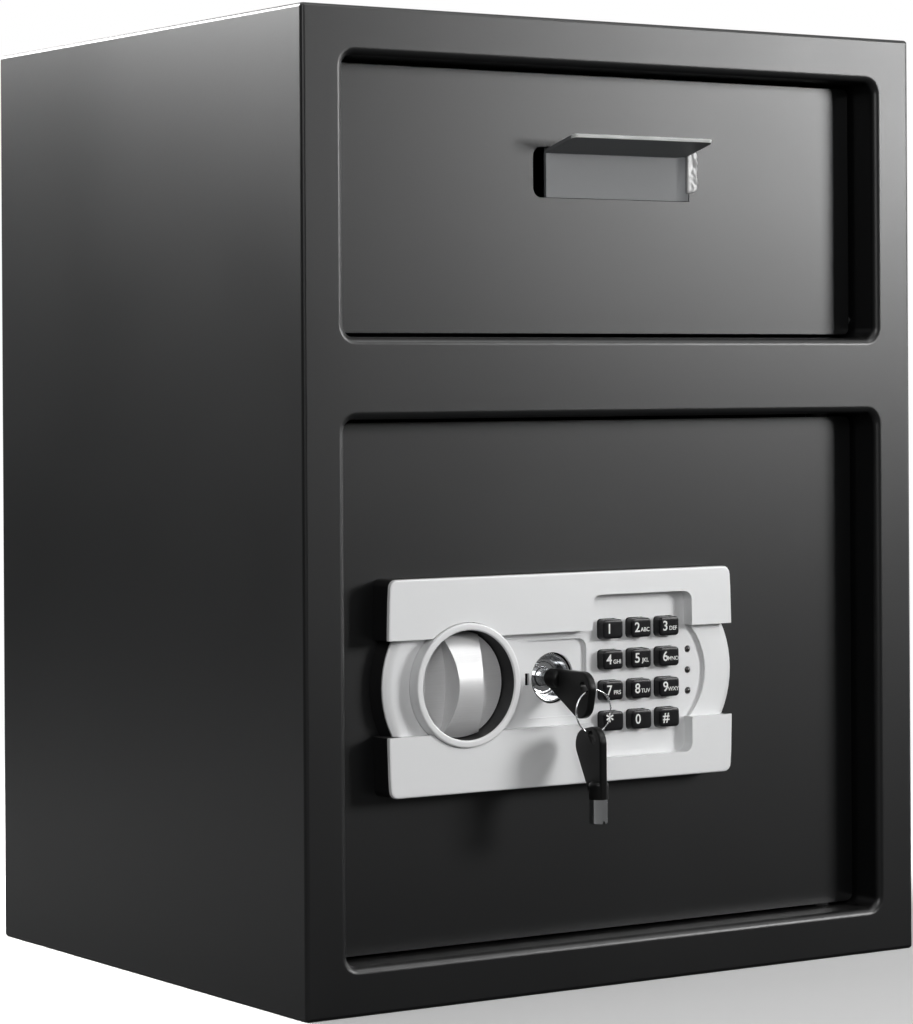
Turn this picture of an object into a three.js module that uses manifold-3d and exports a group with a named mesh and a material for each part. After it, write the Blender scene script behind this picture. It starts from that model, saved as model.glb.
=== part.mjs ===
// Drop safe with a tilt-out deposit hopper above and a keypad-locked door below.
// Units are millimetres. X points right as seen from the front, Y away from the viewer, Z up.
// The origin is the centre of the underside of the body.

import * as THREE from 'three';
import { mergeVertices } from 'three/addons/utils/BufferGeometryUtils.js';
import Module from 'manifold-3d';

const wasm = await Module();
wasm.setup();

// Body and front frame
const BODY_WIDTH = 390;
const BODY_DEPTH = 330;
const BODY_HEIGHT = 500;
const SHELL_WALL = 3;
const FRAME_SHEET = 2;
const BACK_SHEET = 2;
const OUTER_EDGE_RADIUS = 2;
const FRAME_SIDE = 24.5;
const FRAME_TOP = 24.5;
const FRAME_MIDDLE = 41;
const UPPER_OPENING_HEIGHT = 139.5;
const OPENING_RADIUS = 6;
const BEND_RADIUS = 4;
const FLANGE_DEPTH = 47;
const ANCHOR_HOLE_RADIUS = 6;
const ANCHOR_INSET_X = 75;
const ANCHOR_INSET_Y = 65;
const ANCHOR_INSET_Z = 110;

// Panels that close the two openings
const RECESS_DEPTH = 20;
const PANEL_GAP = 2;
const HOPPER_SHEET = 2;
const DOOR_SHEET = 4;
const PANEL_CORNER_RADIUS = 4;

// Deposit hopper
const HOPPER_AXIS_HEIGHT = 10;
const HOPPER_AXIS_BEHIND = 5.4;
const HOPPER_SWING_DEG = 50;
const TRAY_LENGTH = 100;
const TRAY_SLOPE_DEG = 8;
const TRAY_RISE = 4;
const TRAY_SHEET = 1.5;
const CHEEK_SHEET = 1.5;
const CHEEK_RADIUS = 120;
const CHEEK_SIDE_GAP = 4;
const HOPPER_PIN_RADIUS = 3;
const PIVOT_CLEARANCE = 0.3;
const PIN_BEHIND_FLANGE = 2.5;
const BAFFLE_CLEARANCE = 3;
const BAFFLE_SHEET = 1.5;
const BAFFLE_SIDE_GAP = 5;
const BAFFLE_FLANGE = 22;
const BAFFLE_TOP_DEG = 62;

// Deposit handle
const HANDLE_OFFSET_X = 11.8;
const HANDLE_WIDTH = 91;
const HANDLE_SHEET = 2;
const HANDLE_REACH = 24;
const HANDLE_SLOPE_DEG = 15;
const HANDLE_CORNER_RADIUS = 3;
const HANDLE_PLATE_LAP = 10;
const SLOT_WIDTH = 101;
const SLOT_OFFSET_X = 7.4;
const SLOT_HEIGHT = 25.9;
const SLOT_RADIUS = 5;
const SLOT_BELOW_TOP = 38.6;

// Door hinge
const DOOR_AXIS_FROM_FLANGE = 20;
const DOOR_AXIS_BEHIND = 7;
const DOOR_PIN_RADIUS = 3;
const DOOR_PIN_REACH = 5;
const KNUCKLE_HALF_WIDTH = 5;
const KNUCKLE_HEIGHT = 34;
const THRUST_COLLAR_RADIUS = 6;

// Lock panel on the door: every place is measured from the door's left edge and from the lock's axis
const LOCK_AXIS_HEIGHT = 135.5;
const KNOB_FROM_LEFT = 72.3;
const PANEL_CENTRE_FROM_LEFT = 133.5;
const PANEL_WIDTH = 217.4;
const PANEL_BULGE = 1.2;
const PANEL_HEIGHT = 109.5;
const PANEL_THICKNESS = 15.5;
const PANEL_CORNER = 4;
const PANEL_EDGE_ROUND = 1.2;
const BAND_GAP = 48.5;
const MID_CENTRE_FROM_LEFT = 136.1;
const MID_WIDTH = 220.3;
const MID_ARC_RADIUS = 52;
const MID_BELOW_BANDS = 5.3;
const MID_BEVEL_WIDTH = 4.4;
const MID_BEVEL_DEPTH = 2.4;
const HOUSING_FLARE = 2.7;
const FACE_WALL = 1.6;
const FACE_RIM = 2;
const HOUSING_WALL = 2.2;
const HOUSING_BACK = 1.5;
const FIT_GAP = 0.3;

// Keypad
const KEYPAD_LEFT_FROM_KNOB = 78.2;
const KEYPAD_WIDTH = 64.6;
const KEYPAD_TOP_ABOVE = 42.5;
const KEYPAD_BOTTOM_BELOW = 42.6;
const KEYPAD_BELOW_BANDS = 7.3;
const KEYPAD_CORNER = 5;
const KEYPAD_ARC_RADIUS = 33;
const KEYPAD_ARC_REACH = 12.6;
const BUTTON_WIDTH = 12.8;
const BUTTON_HEIGHT = 10;
const BUTTON_PITCH_X = 18.3;
const BUTTON_PITCH_Z = 16;
const BUTTON_COLUMNS = 3;
const BUTTON_ROWS = 4;
const BUTTON_STAND = 5.4;
const BUTTON_CORNER = 2;
const BUTTON_CROWN = 0.8;
const BUTTON_FLANGE = 0.8;
const BUTTON_FLANGE_LAP = 1.4;
const BUTTON_TRAVEL = 1;
const BUTTON_OFFSET_X = 0.6;
const BUTTON_OFFSET_Z = 0.2;
const BOARD_SHEET = 1.4;
const LED_RADIUS = 1.65;
const LED_PITCH = 11;
const LED_BEYOND_RIGHT = 2.4;
const LED_CLEARANCE = 0.3;
const BOARD_LAP = 4;
const BOARD_HEIGHT = 78;
const BUTTON_STEM_RADIUS = 2;
const LED_DOME = 1;

// Knob
const RING_OUTER_RADIUS = 31.6;
const RING_INNER_RADIUS = 27.8;
const RING_PROUD = 1.8;
const DIAL_RADIUS = 27.2;
const DIAL_BELOW_RING = 11.5;
const DIAL_THICKNESS = 2;
const GRIP_WAIST = 14.4;
const GRIP_END_WIDTH = 23.6;
const GRIP_HEIGHT = 13.2;
const GRIP_END_HEIGHT = 0.5;
const SHAFT_RADIUS = 5;
const CRANK_RADIUS = 21;
const CRANK_SHEET = 3.5;
const CRANK_GAP = 2.5;
const CRANK_THROW = 15.6;
const CRANK_PIN_RADIUS = 3;
const CRANK_LEAD_DEG = 40;

// Boltwork behind the door
const BOLT_RADIUS = 8;
const BOLT_SPREAD = 45;
const BOLT_BEHIND_DOOR = 10;
const BOLT_TIP_INSET = 8;
const BOLT_TRAVEL = 20;
const BOLT_CLEARANCE = 0.8;
const BOLT_LENGTH = 38.5;
const CARRIAGE_SHEET = 3;
const CARRIAGE_BAR = 10;
const CARRIAGE_OVERHANG = 9;
const SLOT_CLEARANCE = 0.6;
const SLOT_MARGIN = 5;
const LUG_WIDTH = 4;
const LUG_DROP = 7;
const LUG_ARM = 7;
const LUG_BELOW_KNOB = 33;
const LUG_REACH = 24;
const PLUNGER_RADIUS = 3;
const PLUNGER_RISE = 4;
const PLUNGER_LUG_GAP = 2;
const PLUNGER_SIDE_GAP = 5;
const PLUNGER_LENGTH = 16;
const SOLENOID_WIDTH = 22;
const SOLENOID_DEPTH = 19;
const SOLENOID_HEIGHT = 24;

// Rear cover of the lock, with the battery box
const COVER_DEPTH = 40;
const COVER_SHEET = 1.5;
const COVER_LEFT_GAP = 2;
const COVER_WIDTH = 258;
const COVER_HEIGHT = 158;
const COVER_FLANGE = 7;
const SCREW_HEAD_RADIUS = 3;
const SCREW_HEAD_HEIGHT = 2;
const SCREW_SHANK_RADIUS = 1.5;
const CELL_RADIUS = 7.1;
const CELL_LENGTH = 49;
const CELL_NIPPLE_RADIUS = 2.7;
const CELL_NIPPLE = 1.4;
const CELL_PITCH = 15;
const CELL_END_GAP = 0.8;
const CELL_COUNT = 4;
const BATTERY_WALL = 1.6;
const BATTERY_FROM_RIGHT = 18;
const BATTERY_ABOVE = 8;
const LID_SHEET = 2;
const LID_LAP = 4;
const RESET_RADIUS = 4;
const RESET_LENGTH = 8;
const RESET_PROUD = 2;
const RESET_BELOW = 40;
const RESET_COLLAR = 1.5;

// Key cylinder and keys
const CYLINDER_FROM_KNOB = 58.9;
const SEAT_HALF_WIDTH = 20.3;
const SEAT_HALF_HEIGHT = 20;
const SEAT_BELOW_MID = 4;
const COVER_SLOT_WIDTH = 2.6;
const COVER_SLOT_HEIGHT = 6.2;
const COVER_SLOT_FROM_AXIS = 15.9;
const SEAT_CORNER = 5;
const KEY_BORE_RADIUS = 13.3;
const CYLINDER_RADIUS = 11;
const CYLINDER_RIM_RADIUS = 12.6;
const CYLINDER_RIM = 4.2;
const CYLINDER_LIP_RADIUS = 9.3;
const CYLINDER_FACE_INSET = 6.8;
const CYLINDER_LENGTH = 30;
const CYLINDER_LIP_CONE = 2.3;
const PLUG_RADIUS = 7;
const PLUG_DEPTH = 8;
const POST_RADIUS = 3.4;
const CAM_SHEET = 2.5;
const CAM_HALF_WIDTH = 6;
const CAM_REACH = 20;
const KEY_FACE_GAP = 8.4;
const KEY_BOW_SHEET = 4.4;
const KEY_BOW_LENGTH = 36.6;
const KEY_BOW_RADIUS = 8.6;
const KEY_BOW_DROP = 6.9;
const KEY_BOW_SET = 1.5;
const KEY_NECK_RADIUS = 5.1;
const KEY_NECK_LENGTH = 9;
const KEY_NECK_STRAIGHT = 3;
const KEY_TUBE_RADIUS = 4.8;
const KEY_TUBE_WALL = 1;
const KEY_TUBE_LENGTH = 12.5;
const KEY_NOTCH_WIDTH = 1.4;
const KEY_NOTCH_DEPTH = 1.6;
const KEY_HOLE_RADIUS = 2.2;
const KEY_HOLE_LENGTH = 3.6;
const KEY_HOLE_SLANT_DEG = 45;
const KEY_HOLE_FROM_END = 5.3;
const KEY_HOLE_BELOW = 3;
const SPARE_TURN_DEG = 3;
const RING_PLAY = 0.2;
const RING_CENTRE_RADIUS = 10.7;
const RING_WIRE_RADIUS = 0.6;
const RING_OFFSET_X = 3;

// Places that follow from the sizes above
const MERGE_TOLERANCE = 0.0004;
const overrun = SHELL_WALL;
const frontY = -BODY_DEPTH / 2;
const backY = BODY_DEPTH / 2;
const openingHalf = BODY_WIDTH / 2 - FRAME_SIDE;
const upperTop = BODY_HEIGHT - FRAME_TOP;
const upperBottom = upperTop - UPPER_OPENING_HEIGHT;
const lowerTop = upperBottom - FRAME_MIDDLE;
const lowerBottom = FRAME_TOP;
const flangeY = frontY + FLANGE_DEPTH;
const panelY = frontY + RECESS_DEPTH;
const panelHalf = openingHalf - PANEL_GAP;
const hopperBackY = panelY + HOPPER_SHEET;
const hopperAxisY = panelY + HOPPER_AXIS_BEHIND;
const hopperAxisZ = upperBottom + HOPPER_AXIS_HEIGHT;
const doorBackY = panelY + DOOR_SHEET;
const doorAxisX = openingHalf - DOOR_AXIS_FROM_FLANGE;
const doorAxisY = panelY + DOOR_AXIS_BEHIND;
const doorTop = lowerTop - PANEL_GAP;
const doorBottom = lowerBottom + PANEL_GAP;
const doorLeft = -panelHalf;
const lockZ = lowerBottom + LOCK_AXIS_HEIGHT;
const knobX = doorLeft + KNOB_FROM_LEFT;
const bandY = panelY - PANEL_THICKNESS;
const midY = bandY + MID_BELOW_BANDS;
const keypadY = bandY + KEYPAD_BELOW_BANDS;
const seatY = midY + SEAT_BELOW_MID;
const rimY = bandY - RING_PROUD;
const dialY = rimY + DIAL_BELOW_RING;
const cylinderX = knobX + CYLINDER_FROM_KNOB;
const coverBackY = doorBackY + COVER_DEPTH;
const boltY = doorBackY + BOLT_BEHIND_DOOR;

// Finishes
const paint = (name, color, roughness, metalness) =>
  new THREE.MeshStandardMaterial({ name, color, roughness, metalness });
const blackPaint = paint('black_powder_coat', 0x1c1d1f, 0.45, 0.1);
const greyPaint = paint('grey_painted_steel', 0x6b6d6f, 0.5, 0.2);
const silverPlastic = paint('silver_painted_plastic', 0xd4d5d6, 0.32, 0.35);
const satinSilver = paint('satin_silver_knob', 0xc8c9ca, 0.28, 0.6);
const blackPlastic = paint('black_plastic', 0x101112, 0.4, 0);
const buttonPlastic = paint('gloss_black_button', 0x161718, 0.25, 0);
const zincSteel = paint('zinc_plated_steel', 0xb9bcbe, 0.35, 0.85);
const chrome = paint('chrome', 0xd8dadc, 0.12, 1);
const keyPlastic = paint('key_plastic', 0x141415, 0.5, 0);
const boardGreen = paint('circuit_board', 0x1f5a38, 0.6, 0);
const ledLens = paint('led_lens', 0x2b2d2e, 0.15, 0);
const cellWrap = paint('cell_wrap', 0x8a4b22, 0.4, 0.2);
const redPlastic = paint('red_plastic', 0xa3201c, 0.4, 0);

// Outline helpers: each gives points that run anticlockwise
const point = (a, b) => new THREE.Vector2(a, b);

function arc(centreA, centreB, radius, fromDeg, toDeg, steps) {
  const points = [];
  for (let i = 0; i <= steps; i += 1) {
    const angle = THREE.MathUtils.degToRad(fromDeg + ((toDeg - fromDeg) * i) / steps);
    points.push(point(centreA + radius * Math.cos(angle), centreB + radius * Math.sin(angle)));
  }
  return points;
}

function circle(centreA, centreB, radius, steps) {
  return arc(centreA, centreB, radius, 0, 360, steps).slice(0, steps);
}

function rectangle(a0, a1, b0, b1) {
  return [point(a0, b0), point(a1, b0), point(a1, b1), point(a0, b1)];
}

function roundedRectangle(a0, a1, b0, b1, radius, steps) {
  return [
    ...arc(a0 + radius, b0 + radius, radius, 180, 270, steps),
    ...arc(a1 - radius, b0 + radius, radius, 270, 360, steps),
    ...arc(a1 - radius, b1 - radius, radius, 0, 90, steps),
    ...arc(a0 + radius, b1 - radius, radius, 90, 180, steps),
  ];
}

function slotOutline(centreA, centreB, radius, length, steps) {
  return [
    ...arc(centreA, centreB - length / 2, radius, 180, 360, steps),
    ...arc(centreA, centreB + length / 2, radius, 0, 180, steps),
  ];
}

// Solids: an outline is drawn in the two axes named and swept along the third
const sweeps = {
  x: new THREE.Matrix4().set(0, 0, 1, 0, 1, 0, 0, 0, 0, 1, 0, 0, 0, 0, 0, 1),
  y: new THREE.Matrix4().set(1, 0, 0, 0, 0, 0, -1, 0, 0, 1, 0, 0, 0, 0, 0, 1),
  z: new THREE.Matrix4(),
};

function weld(geometry) {
  const bare = geometry.index ? geometry.toNonIndexed() : geometry.clone();
  bare.deleteAttribute('normal');
  bare.deleteAttribute('uv');
  return mergeVertices(bare, MERGE_TOLERANCE);
}

function asSolid(geometry) {
  const merged = weld(geometry);
  const vertProperties = new Float32Array(merged.attributes.position.array);
  const triVerts = new Uint32Array(merged.index.array);
  return new wasm.Manifold(new wasm.Mesh({ numProp: 3, vertProperties, triVerts }));
}

function prism(axis, outline, from, to) {
  const geometry = new THREE.ExtrudeGeometry(new THREE.Shape(outline), { depth: to - from, bevelEnabled: false });
  geometry.translate(0, 0, axis === 'y' ? -to : from);
  geometry.applyMatrix4(sweeps[axis]);
  return asSolid(geometry);
}

function box(x0, x1, y0, y1, z0, z1) {
  return prism('z', rectangle(x0, x1, y0, y1), z0, z1);
}

function rod(axis, radius, from, to, a, b, steps = 28) {
  return prism(axis, circle(a, b, radius, steps), from, to);
}

// A skin through matching outlines, each at its own depth along Y, closed at both ends
function loft(levels) {
  const count = levels[0].outline.length;
  const positions = [];
  const index = [];
  for (const level of levels) {
    for (const p of level.outline) positions.push(p.x, level.y, p.y);
  }
  for (let i = 0; i + 1 < levels.length; i += 1) {
    for (let j = 0; j < count; j += 1) {
      const next = (j + 1) % count;
      const a = i * count + j;
      const b = i * count + next;
      index.push(a, b, b + count, a, b + count, a + count);
    }
  }
  const last = (levels.length - 1) * count;
  for (const [i, j, k] of THREE.ShapeUtils.triangulateShape(levels[0].outline, [])) index.push(i, k, j);
  for (const [i, j, k] of THREE.ShapeUtils.triangulateShape(levels[levels.length - 1].outline, [])) {
    index.push(last + i, last + j, last + k);
  }
  const geometry = new THREE.BufferGeometry();
  geometry.setAttribute('position', new THREE.Float32BufferAttribute(positions, 3));
  geometry.setIndex(index);
  const solid = asSolid(geometry);
  return solid.volume() < 0 ? asSolid(flipped(geometry)) : solid;
}

function flipped(geometry) {
  const index = Array.from(geometry.index.array);
  for (let i = 0; i < index.length; i += 3) [index[i + 1], index[i + 2]] = [index[i + 2], index[i + 1]];
  const turned = geometry.clone();
  turned.setIndex(index);
  return turned;
}

const join = (first, ...rest) => rest.reduce((sum, solid) => sum.add(solid), first);
const cut = (first, ...rest) => rest.reduce((sum, solid) => sum.subtract(solid), first);

function toGeometry(solid) {
  const data = solid.getMesh();
  const geometry = new THREE.BufferGeometry();
  geometry.setAttribute('position', new THREE.Float32BufferAttribute(data.vertProperties, 3));
  geometry.setIndex(new THREE.Uint32BufferAttribute(data.triVerts, 1));
  const faceted = geometry.toNonIndexed();
  faceted.computeVertexNormals();
  return faceted;
}

const safe = new THREE.Group();

function place(name, solid, material) {
  const mesh = new THREE.Mesh(toGeometry(solid), material);
  mesh.name = name;
  safe.add(mesh);
}

// A turned solid: the profile gives radius and distance along the axis
const turns = {
  x: new THREE.Matrix4().set(0, 1, 0, 0, 0, 0, 1, 0, 1, 0, 0, 0, 0, 0, 0, 1),
  y: new THREE.Matrix4(),
  z: new THREE.Matrix4().set(0, 0, 1, 0, 1, 0, 0, 0, 0, 1, 0, 0, 0, 0, 0, 1),
};

function turned(axis, profile, centre, steps = 32) {
  const geometry = new THREE.LatheGeometry(profile.map(([r, along]) => point(r, along)), steps);
  geometry.applyMatrix4(turns[axis]);
  geometry.translate(centre.x, centre.y, centre.z);
  const solid = asSolid(geometry);
  return solid.volume() < 0 ? asSolid(flipped(weld(geometry))) : solid;
}

const at = (x, y, z) => new THREE.Vector3(x, y, z);
const radians = (degrees) => THREE.MathUtils.degToRad(degrees);
const bothSides = [-1, 1];

// Body: a welded tube, a back plate and a folded front frame with two openings
function faceOutline(inset) {
  const half = BODY_WIDTH / 2 - inset;
  return roundedRectangle(-half, half, inset, BODY_HEIGHT - inset, OUTER_EDGE_RADIUS, 3);
}

function anchorHoles(axis, from, to, across, along) {
  const holes = [];
  for (const a of bothSides) {
    for (const b of along) holes.push(rod(axis, ANCHOR_HOLE_RADIUS, from, to, a * across, b, 16));
  }
  return holes;
}

function bodyShell() {
  const half = BODY_WIDTH / 2 - SHELL_WALL;
  const inside = rectangle(-half, half, SHELL_WALL, BODY_HEIGHT - SHELL_WALL);
  const tube = cut(
    prism('y', faceOutline(0), frontY + FRAME_SHEET, backY - BACK_SHEET),
    prism('y', inside, frontY - overrun, backY + overrun),
  );
  const rows = [-BODY_DEPTH / 2 + ANCHOR_INSET_Y, BODY_DEPTH / 2 - ANCHOR_INSET_Y];
  const across = BODY_WIDTH / 2 - ANCHOR_INSET_X;
  return cut(tube, ...anchorHoles('z', -overrun, SHELL_WALL + overrun, across, rows));
}

function backPanel() {
  const plate = prism('y', faceOutline(0), backY - BACK_SHEET, backY);
  const rows = [ANCHOR_INSET_Z, BODY_HEIGHT - ANCHOR_INSET_Z];
  const across = BODY_WIDTH / 2 - ANCHOR_INSET_X;
  return cut(plate, ...anchorHoles('y', backY - BACK_SHEET - overrun, backY + overrun, across, rows));
}

function openingOutline(bottom, top, grow) {
  const half = openingHalf + grow;
  return roundedRectangle(-half, half, bottom - grow, top + grow, OPENING_RADIUS + grow, 4);
}

// Levels of a quarter-round edge that starts at depth y and turns back by its radius
function roundLevels(y, radius, steps, outline) {
  const levels = [];
  for (let i = 0; i <= steps; i += 1) {
    const turn = radians((90 * i) / steps);
    levels.push({ y: y + radius * (1 - Math.cos(turn)), outline: outline(radius * (1 - Math.sin(turn))) });
  }
  return levels;
}

function flaredOpening(bottom, top) {
  const grown = (grow) => openingOutline(bottom, top, grow);
  const mouth = { y: frontY - overrun, outline: grown(BEND_RADIUS) };
  const bore = prism('y', grown(0), frontY - overrun, flangeY + overrun);
  return join(loft([mouth, ...roundLevels(frontY, BEND_RADIUS, 4, grown)]), bore);
}

function frontFrame() {
  const face = loft(roundLevels(frontY, FRAME_SHEET, 3, faceOutline));
  const openings = [[lowerBottom, lowerTop], [upperBottom, upperTop]];
  const folds = openings.map(([low, high]) =>
    prism('y', openingOutline(low, high, FRAME_SHEET), frontY + FRAME_SHEET / 2, flangeY));
  const reach = openingHalf + FRAME_SHEET + overrun;
  const pivots = rod('x', HOPPER_PIN_RADIUS + PIVOT_CLEARANCE, -reach, reach, hopperAxisY, hopperAxisZ, 20);
  const pinReach = [lowerBottom - overrun, lowerTop + overrun];
  const pins = rod('z', DOOR_PIN_RADIUS + PIVOT_CLEARANCE, ...pinReach, doorAxisX, doorAxisY, 20);
  const bolts = bothSides.map((side) =>
    rod('x', BOLT_RADIUS + BOLT_CLEARANCE, -reach, 0, boltY, lockZ + side * BOLT_SPREAD));
  const mouths = openings.map(([low, high]) => flaredOpening(low, high));
  return cut(join(face, ...folds), ...mouths, pivots, pins, ...bolts);
}

// A bent plate from the roof that stops a hand when the hopper is open
const baffleInner = TRAY_LENGTH + BAFFLE_CLEARANCE;
const cheekOuter = openingHalf - CHEEK_SIDE_GAP;
const cheekInner = cheekOuter - CHEEK_SHEET;

function dropBaffle() {
  const outer = baffleInner + BAFFLE_SHEET;
  const bottomDeg = HOPPER_SWING_DEG - TRAY_SLOPE_DEG - BAFFLE_CLEARANCE;
  const legY = hopperAxisY + baffleInner * Math.cos(radians(BAFFLE_TOP_DEG));
  const outerTop = THREE.MathUtils.radToDeg(Math.acos((legY + BAFFLE_SHEET - hopperAxisY) / outer));
  const roof = BODY_HEIGHT - SHELL_WALL;
  const outline = [
    ...arc(hopperAxisY, hopperAxisZ, baffleInner, BAFFLE_TOP_DEG, bottomDeg, 6),
    ...arc(hopperAxisY, hopperAxisZ, outer, bottomDeg, outerTop, 6),
    point(legY + BAFFLE_SHEET, roof - BAFFLE_SHEET),
    point(legY + BAFFLE_FLANGE, roof - BAFFLE_SHEET),
    point(legY + BAFFLE_FLANGE, roof),
    point(legY, roof),
  ];
  const half = cheekInner - BAFFLE_SIDE_GAP;
  return prism('x', outline, -half, half);
}

// Hopper: front panel, tray, two cheeks and two pivot studs
const slotTop = upperTop - PANEL_GAP - SLOT_BELOW_TOP;
const slotBottom = slotTop - SLOT_HEIGHT;

function hopperPanel() {
  const heights = [upperBottom + PANEL_GAP, upperTop - PANEL_GAP];
  const outline = roundedRectangle(-panelHalf, panelHalf, ...heights, PANEL_CORNER_RADIUS, 4);
  const through = [panelY - overrun, hopperBackY + overrun];
  const slotRight = SLOT_OFFSET_X + SLOT_WIDTH / 2;
  const slot = roundedRectangle(
    SLOT_OFFSET_X - SLOT_WIDTH / 2, slotRight, slotBottom, slotTop, SLOT_RADIUS, 4,
  );
  const squareEnd = box(SLOT_OFFSET_X, slotRight, ...through, slotBottom, slotTop);
  return cut(prism('y', outline, panelY, hopperBackY), prism('y', slot, ...through), squareEnd);
}

const trayDrop = Math.tan(radians(TRAY_SLOPE_DEG));
const trayEndY = hopperAxisY + TRAY_LENGTH * Math.cos(radians(TRAY_SLOPE_DEG));

function hopperTray() {
  const frontZ = hopperAxisZ + TRAY_RISE;
  const endZ = frontZ - (trayEndY - hopperBackY) * trayDrop;
  const outline = [
    point(hopperBackY, frontZ),
    point(trayEndY, endZ),
    point(trayEndY, endZ + TRAY_SHEET),
    point(hopperBackY, frontZ + TRAY_SHEET),
  ];
  return prism('x', outline, -cheekInner, cheekInner);
}

function hopperCheek(side) {
  const lugRadius = HOPPER_AXIS_HEIGHT - PANEL_GAP - FIT_GAP;
  const panelDeg = (radius) => THREE.MathUtils.radToDeg(Math.acos((hopperBackY - hopperAxisY) / radius));
  const outline = [
    ...arc(hopperAxisY, hopperAxisZ, lugRadius, 360 - panelDeg(lugRadius), 268, 3),
    point(trayEndY, hopperAxisZ - (trayEndY - hopperAxisY) * trayDrop),
    ...arc(hopperAxisY, hopperAxisZ, CHEEK_RADIUS, 16, panelDeg(CHEEK_RADIUS), 12),
  ];
  const near = side * cheekInner;
  const far = side * cheekOuter;
  return prism('x', outline, Math.min(near, far), Math.max(near, far));
}

function hopperPin(side) {
  const near = side * cheekOuter;
  const far = side * (openingHalf + FRAME_SHEET + PIN_BEHIND_FLANGE);
  return rod('x', HOPPER_PIN_RADIUS, Math.min(near, far), Math.max(near, far), hopperAxisY, hopperAxisZ, 20);
}

function depositHandle() {
  const slope = radians(HANDLE_SLOPE_DEG);
  const plateBack = hopperBackY + HANDLE_SHEET;
  const rootTop = slotTop - FIT_GAP - HOPPER_SHEET * Math.tan(slope);
  const endY = panelY - HANDLE_REACH * Math.cos(slope);
  const endTop = rootTop + (hopperBackY - endY) * Math.tan(slope);
  const outline = [
    point(plateBack, slotBottom - HANDLE_PLATE_LAP),
    point(plateBack, slotTop + HANDLE_PLATE_LAP),
    point(hopperBackY, slotTop + HANDLE_PLATE_LAP),
    point(hopperBackY, rootTop),
    point(endY, endTop),
    point(endY + HANDLE_SHEET * Math.sin(slope), endTop - HANDLE_SHEET * Math.cos(slope)),
    point(hopperBackY, rootTop - HANDLE_SHEET / Math.cos(slope)),
    point(hopperBackY, slotBottom - HANDLE_PLATE_LAP),
  ];
  const left = HANDLE_OFFSET_X - HANDLE_WIDTH / 2;
  const right = HANDLE_OFFSET_X + HANDLE_WIDTH / 2;
  const plan = roundedRectangle(left, right, endY, plateBack + HANDLE_CORNER_RADIUS, HANDLE_CORNER_RADIUS, 4);
  const column = prism('z', plan, slotBottom - HANDLE_PLATE_LAP, slotTop + HANDLE_PLATE_LAP);
  return prism('x', outline, left, right).intersect(column);
}

// Door: plate and two hinge knuckles that carry the pins
function doorPlate() {
  const outline = roundedRectangle(-panelHalf, panelHalf, doorBottom, doorTop, PANEL_CORNER_RADIUS, 4);
  const plate = prism('y', outline, panelY, doorBackY);
  const through = [panelY - overrun, doorBackY + overrun];
  const shaftHole = rod('y', SHAFT_RADIUS + PIVOT_CLEARANCE, ...through, knobX, lockZ);
  const cylinderHole = rod('y', CYLINDER_RADIUS + FIT_GAP, ...through, cylinderX, lockZ);
  return cut(plate, shaftHole, cylinderHole);
}

function hingeKnuckle(side) {
  const edge = side > 0 ? doorTop : doorBottom;
  const wall = side > 0 ? lowerTop : lowerBottom;
  const inner = edge - side * KNUCKLE_HEIGHT;
  const collarEnd = wall - side * FIT_GAP;
  const pinEnd = wall + side * DOOR_PIN_REACH;
  const span = (a, b) => [Math.min(a, b), Math.max(a, b)];
  const [low, high] = span(edge, inner);
  const block = box(
    doorAxisX - KNUCKLE_HALF_WIDTH, doorAxisX + KNUCKLE_HALF_WIDTH,
    doorBackY, doorAxisY + KNUCKLE_HALF_WIDTH, low, high,
  );
  const collar = rod('z', THRUST_COLLAR_RADIUS, ...span(edge, collarEnd), doorAxisX, doorAxisY, 20);
  const pin = rod('z', DOOR_PIN_RADIUS, ...span(edge - side * DOOR_PIN_REACH, pinEnd), doorAxisX, doorAxisY, 20);
  return join(block, collar, pin);
}

// Lock panel outlines, seen from the front
const panelX = doorLeft + PANEL_CENTRE_FROM_LEFT;
const midX = doorLeft + MID_CENTRE_FROM_LEFT;
const bandInner = BAND_GAP / 2;

function panelOutline(inset) {
  const half = PANEL_WIDTH / 2 - PANEL_BULGE - inset;
  const rise = PANEL_HEIGHT / 2 - inset;
  const bulge = (share) => PANEL_BULGE * (1 - share * share);
  const edgeShares = [-0.8, -0.5, -0.2, 0.2, 0.5, 0.8];
  const right = edgeShares.map((share) => point(panelX + half + bulge(share), lockZ + share * rise));
  const left = edgeShares.map((share) => point(panelX - half - bulge(share), lockZ - share * rise));
  const corner = (a, b, from) => {
    const centre = [panelX + a * (half - PANEL_CORNER), lockZ + b * (rise - PANEL_CORNER)];
    return arc(...centre, PANEL_CORNER, from, from + 90, 4);
  };
  return [
    ...corner(-1, -1, 180), ...corner(1, -1, 270), ...right,
    ...corner(1, 1, 0), ...corner(-1, 1, 90), ...left,
  ];
}

function midOutline(inset) {
  const radius = MID_ARC_RADIUS - inset;
  const offset = MID_WIDTH / 2 - MID_ARC_RADIUS;
  const spreadDeg = THREE.MathUtils.radToDeg(Math.asin(bandInner / MID_ARC_RADIUS));
  const right = arc(midX + offset, lockZ, radius, -spreadDeg, spreadDeg, 10);
  const left = arc(midX - offset, lockZ, radius, 180 - spreadDeg, 180 + spreadDeg, 10);
  const rise = bandInner + overrun;
  const rightEnd = right[0].x;
  const leftEnd = left[0].x;
  return [
    point(rightEnd, lockZ - rise), ...right, point(rightEnd, lockZ + rise),
    point(leftEnd, lockZ + rise), ...left, point(leftEnd, lockZ - rise),
  ];
}

// Slab across the whole panel between two depths and two heights above the lock's axis
function slab(y0, y1, z0, z1) {
  const half = PANEL_WIDTH;
  return box(panelX - half, panelX + half, y0, y1, lockZ + z0, lockZ + z1);
}

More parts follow.
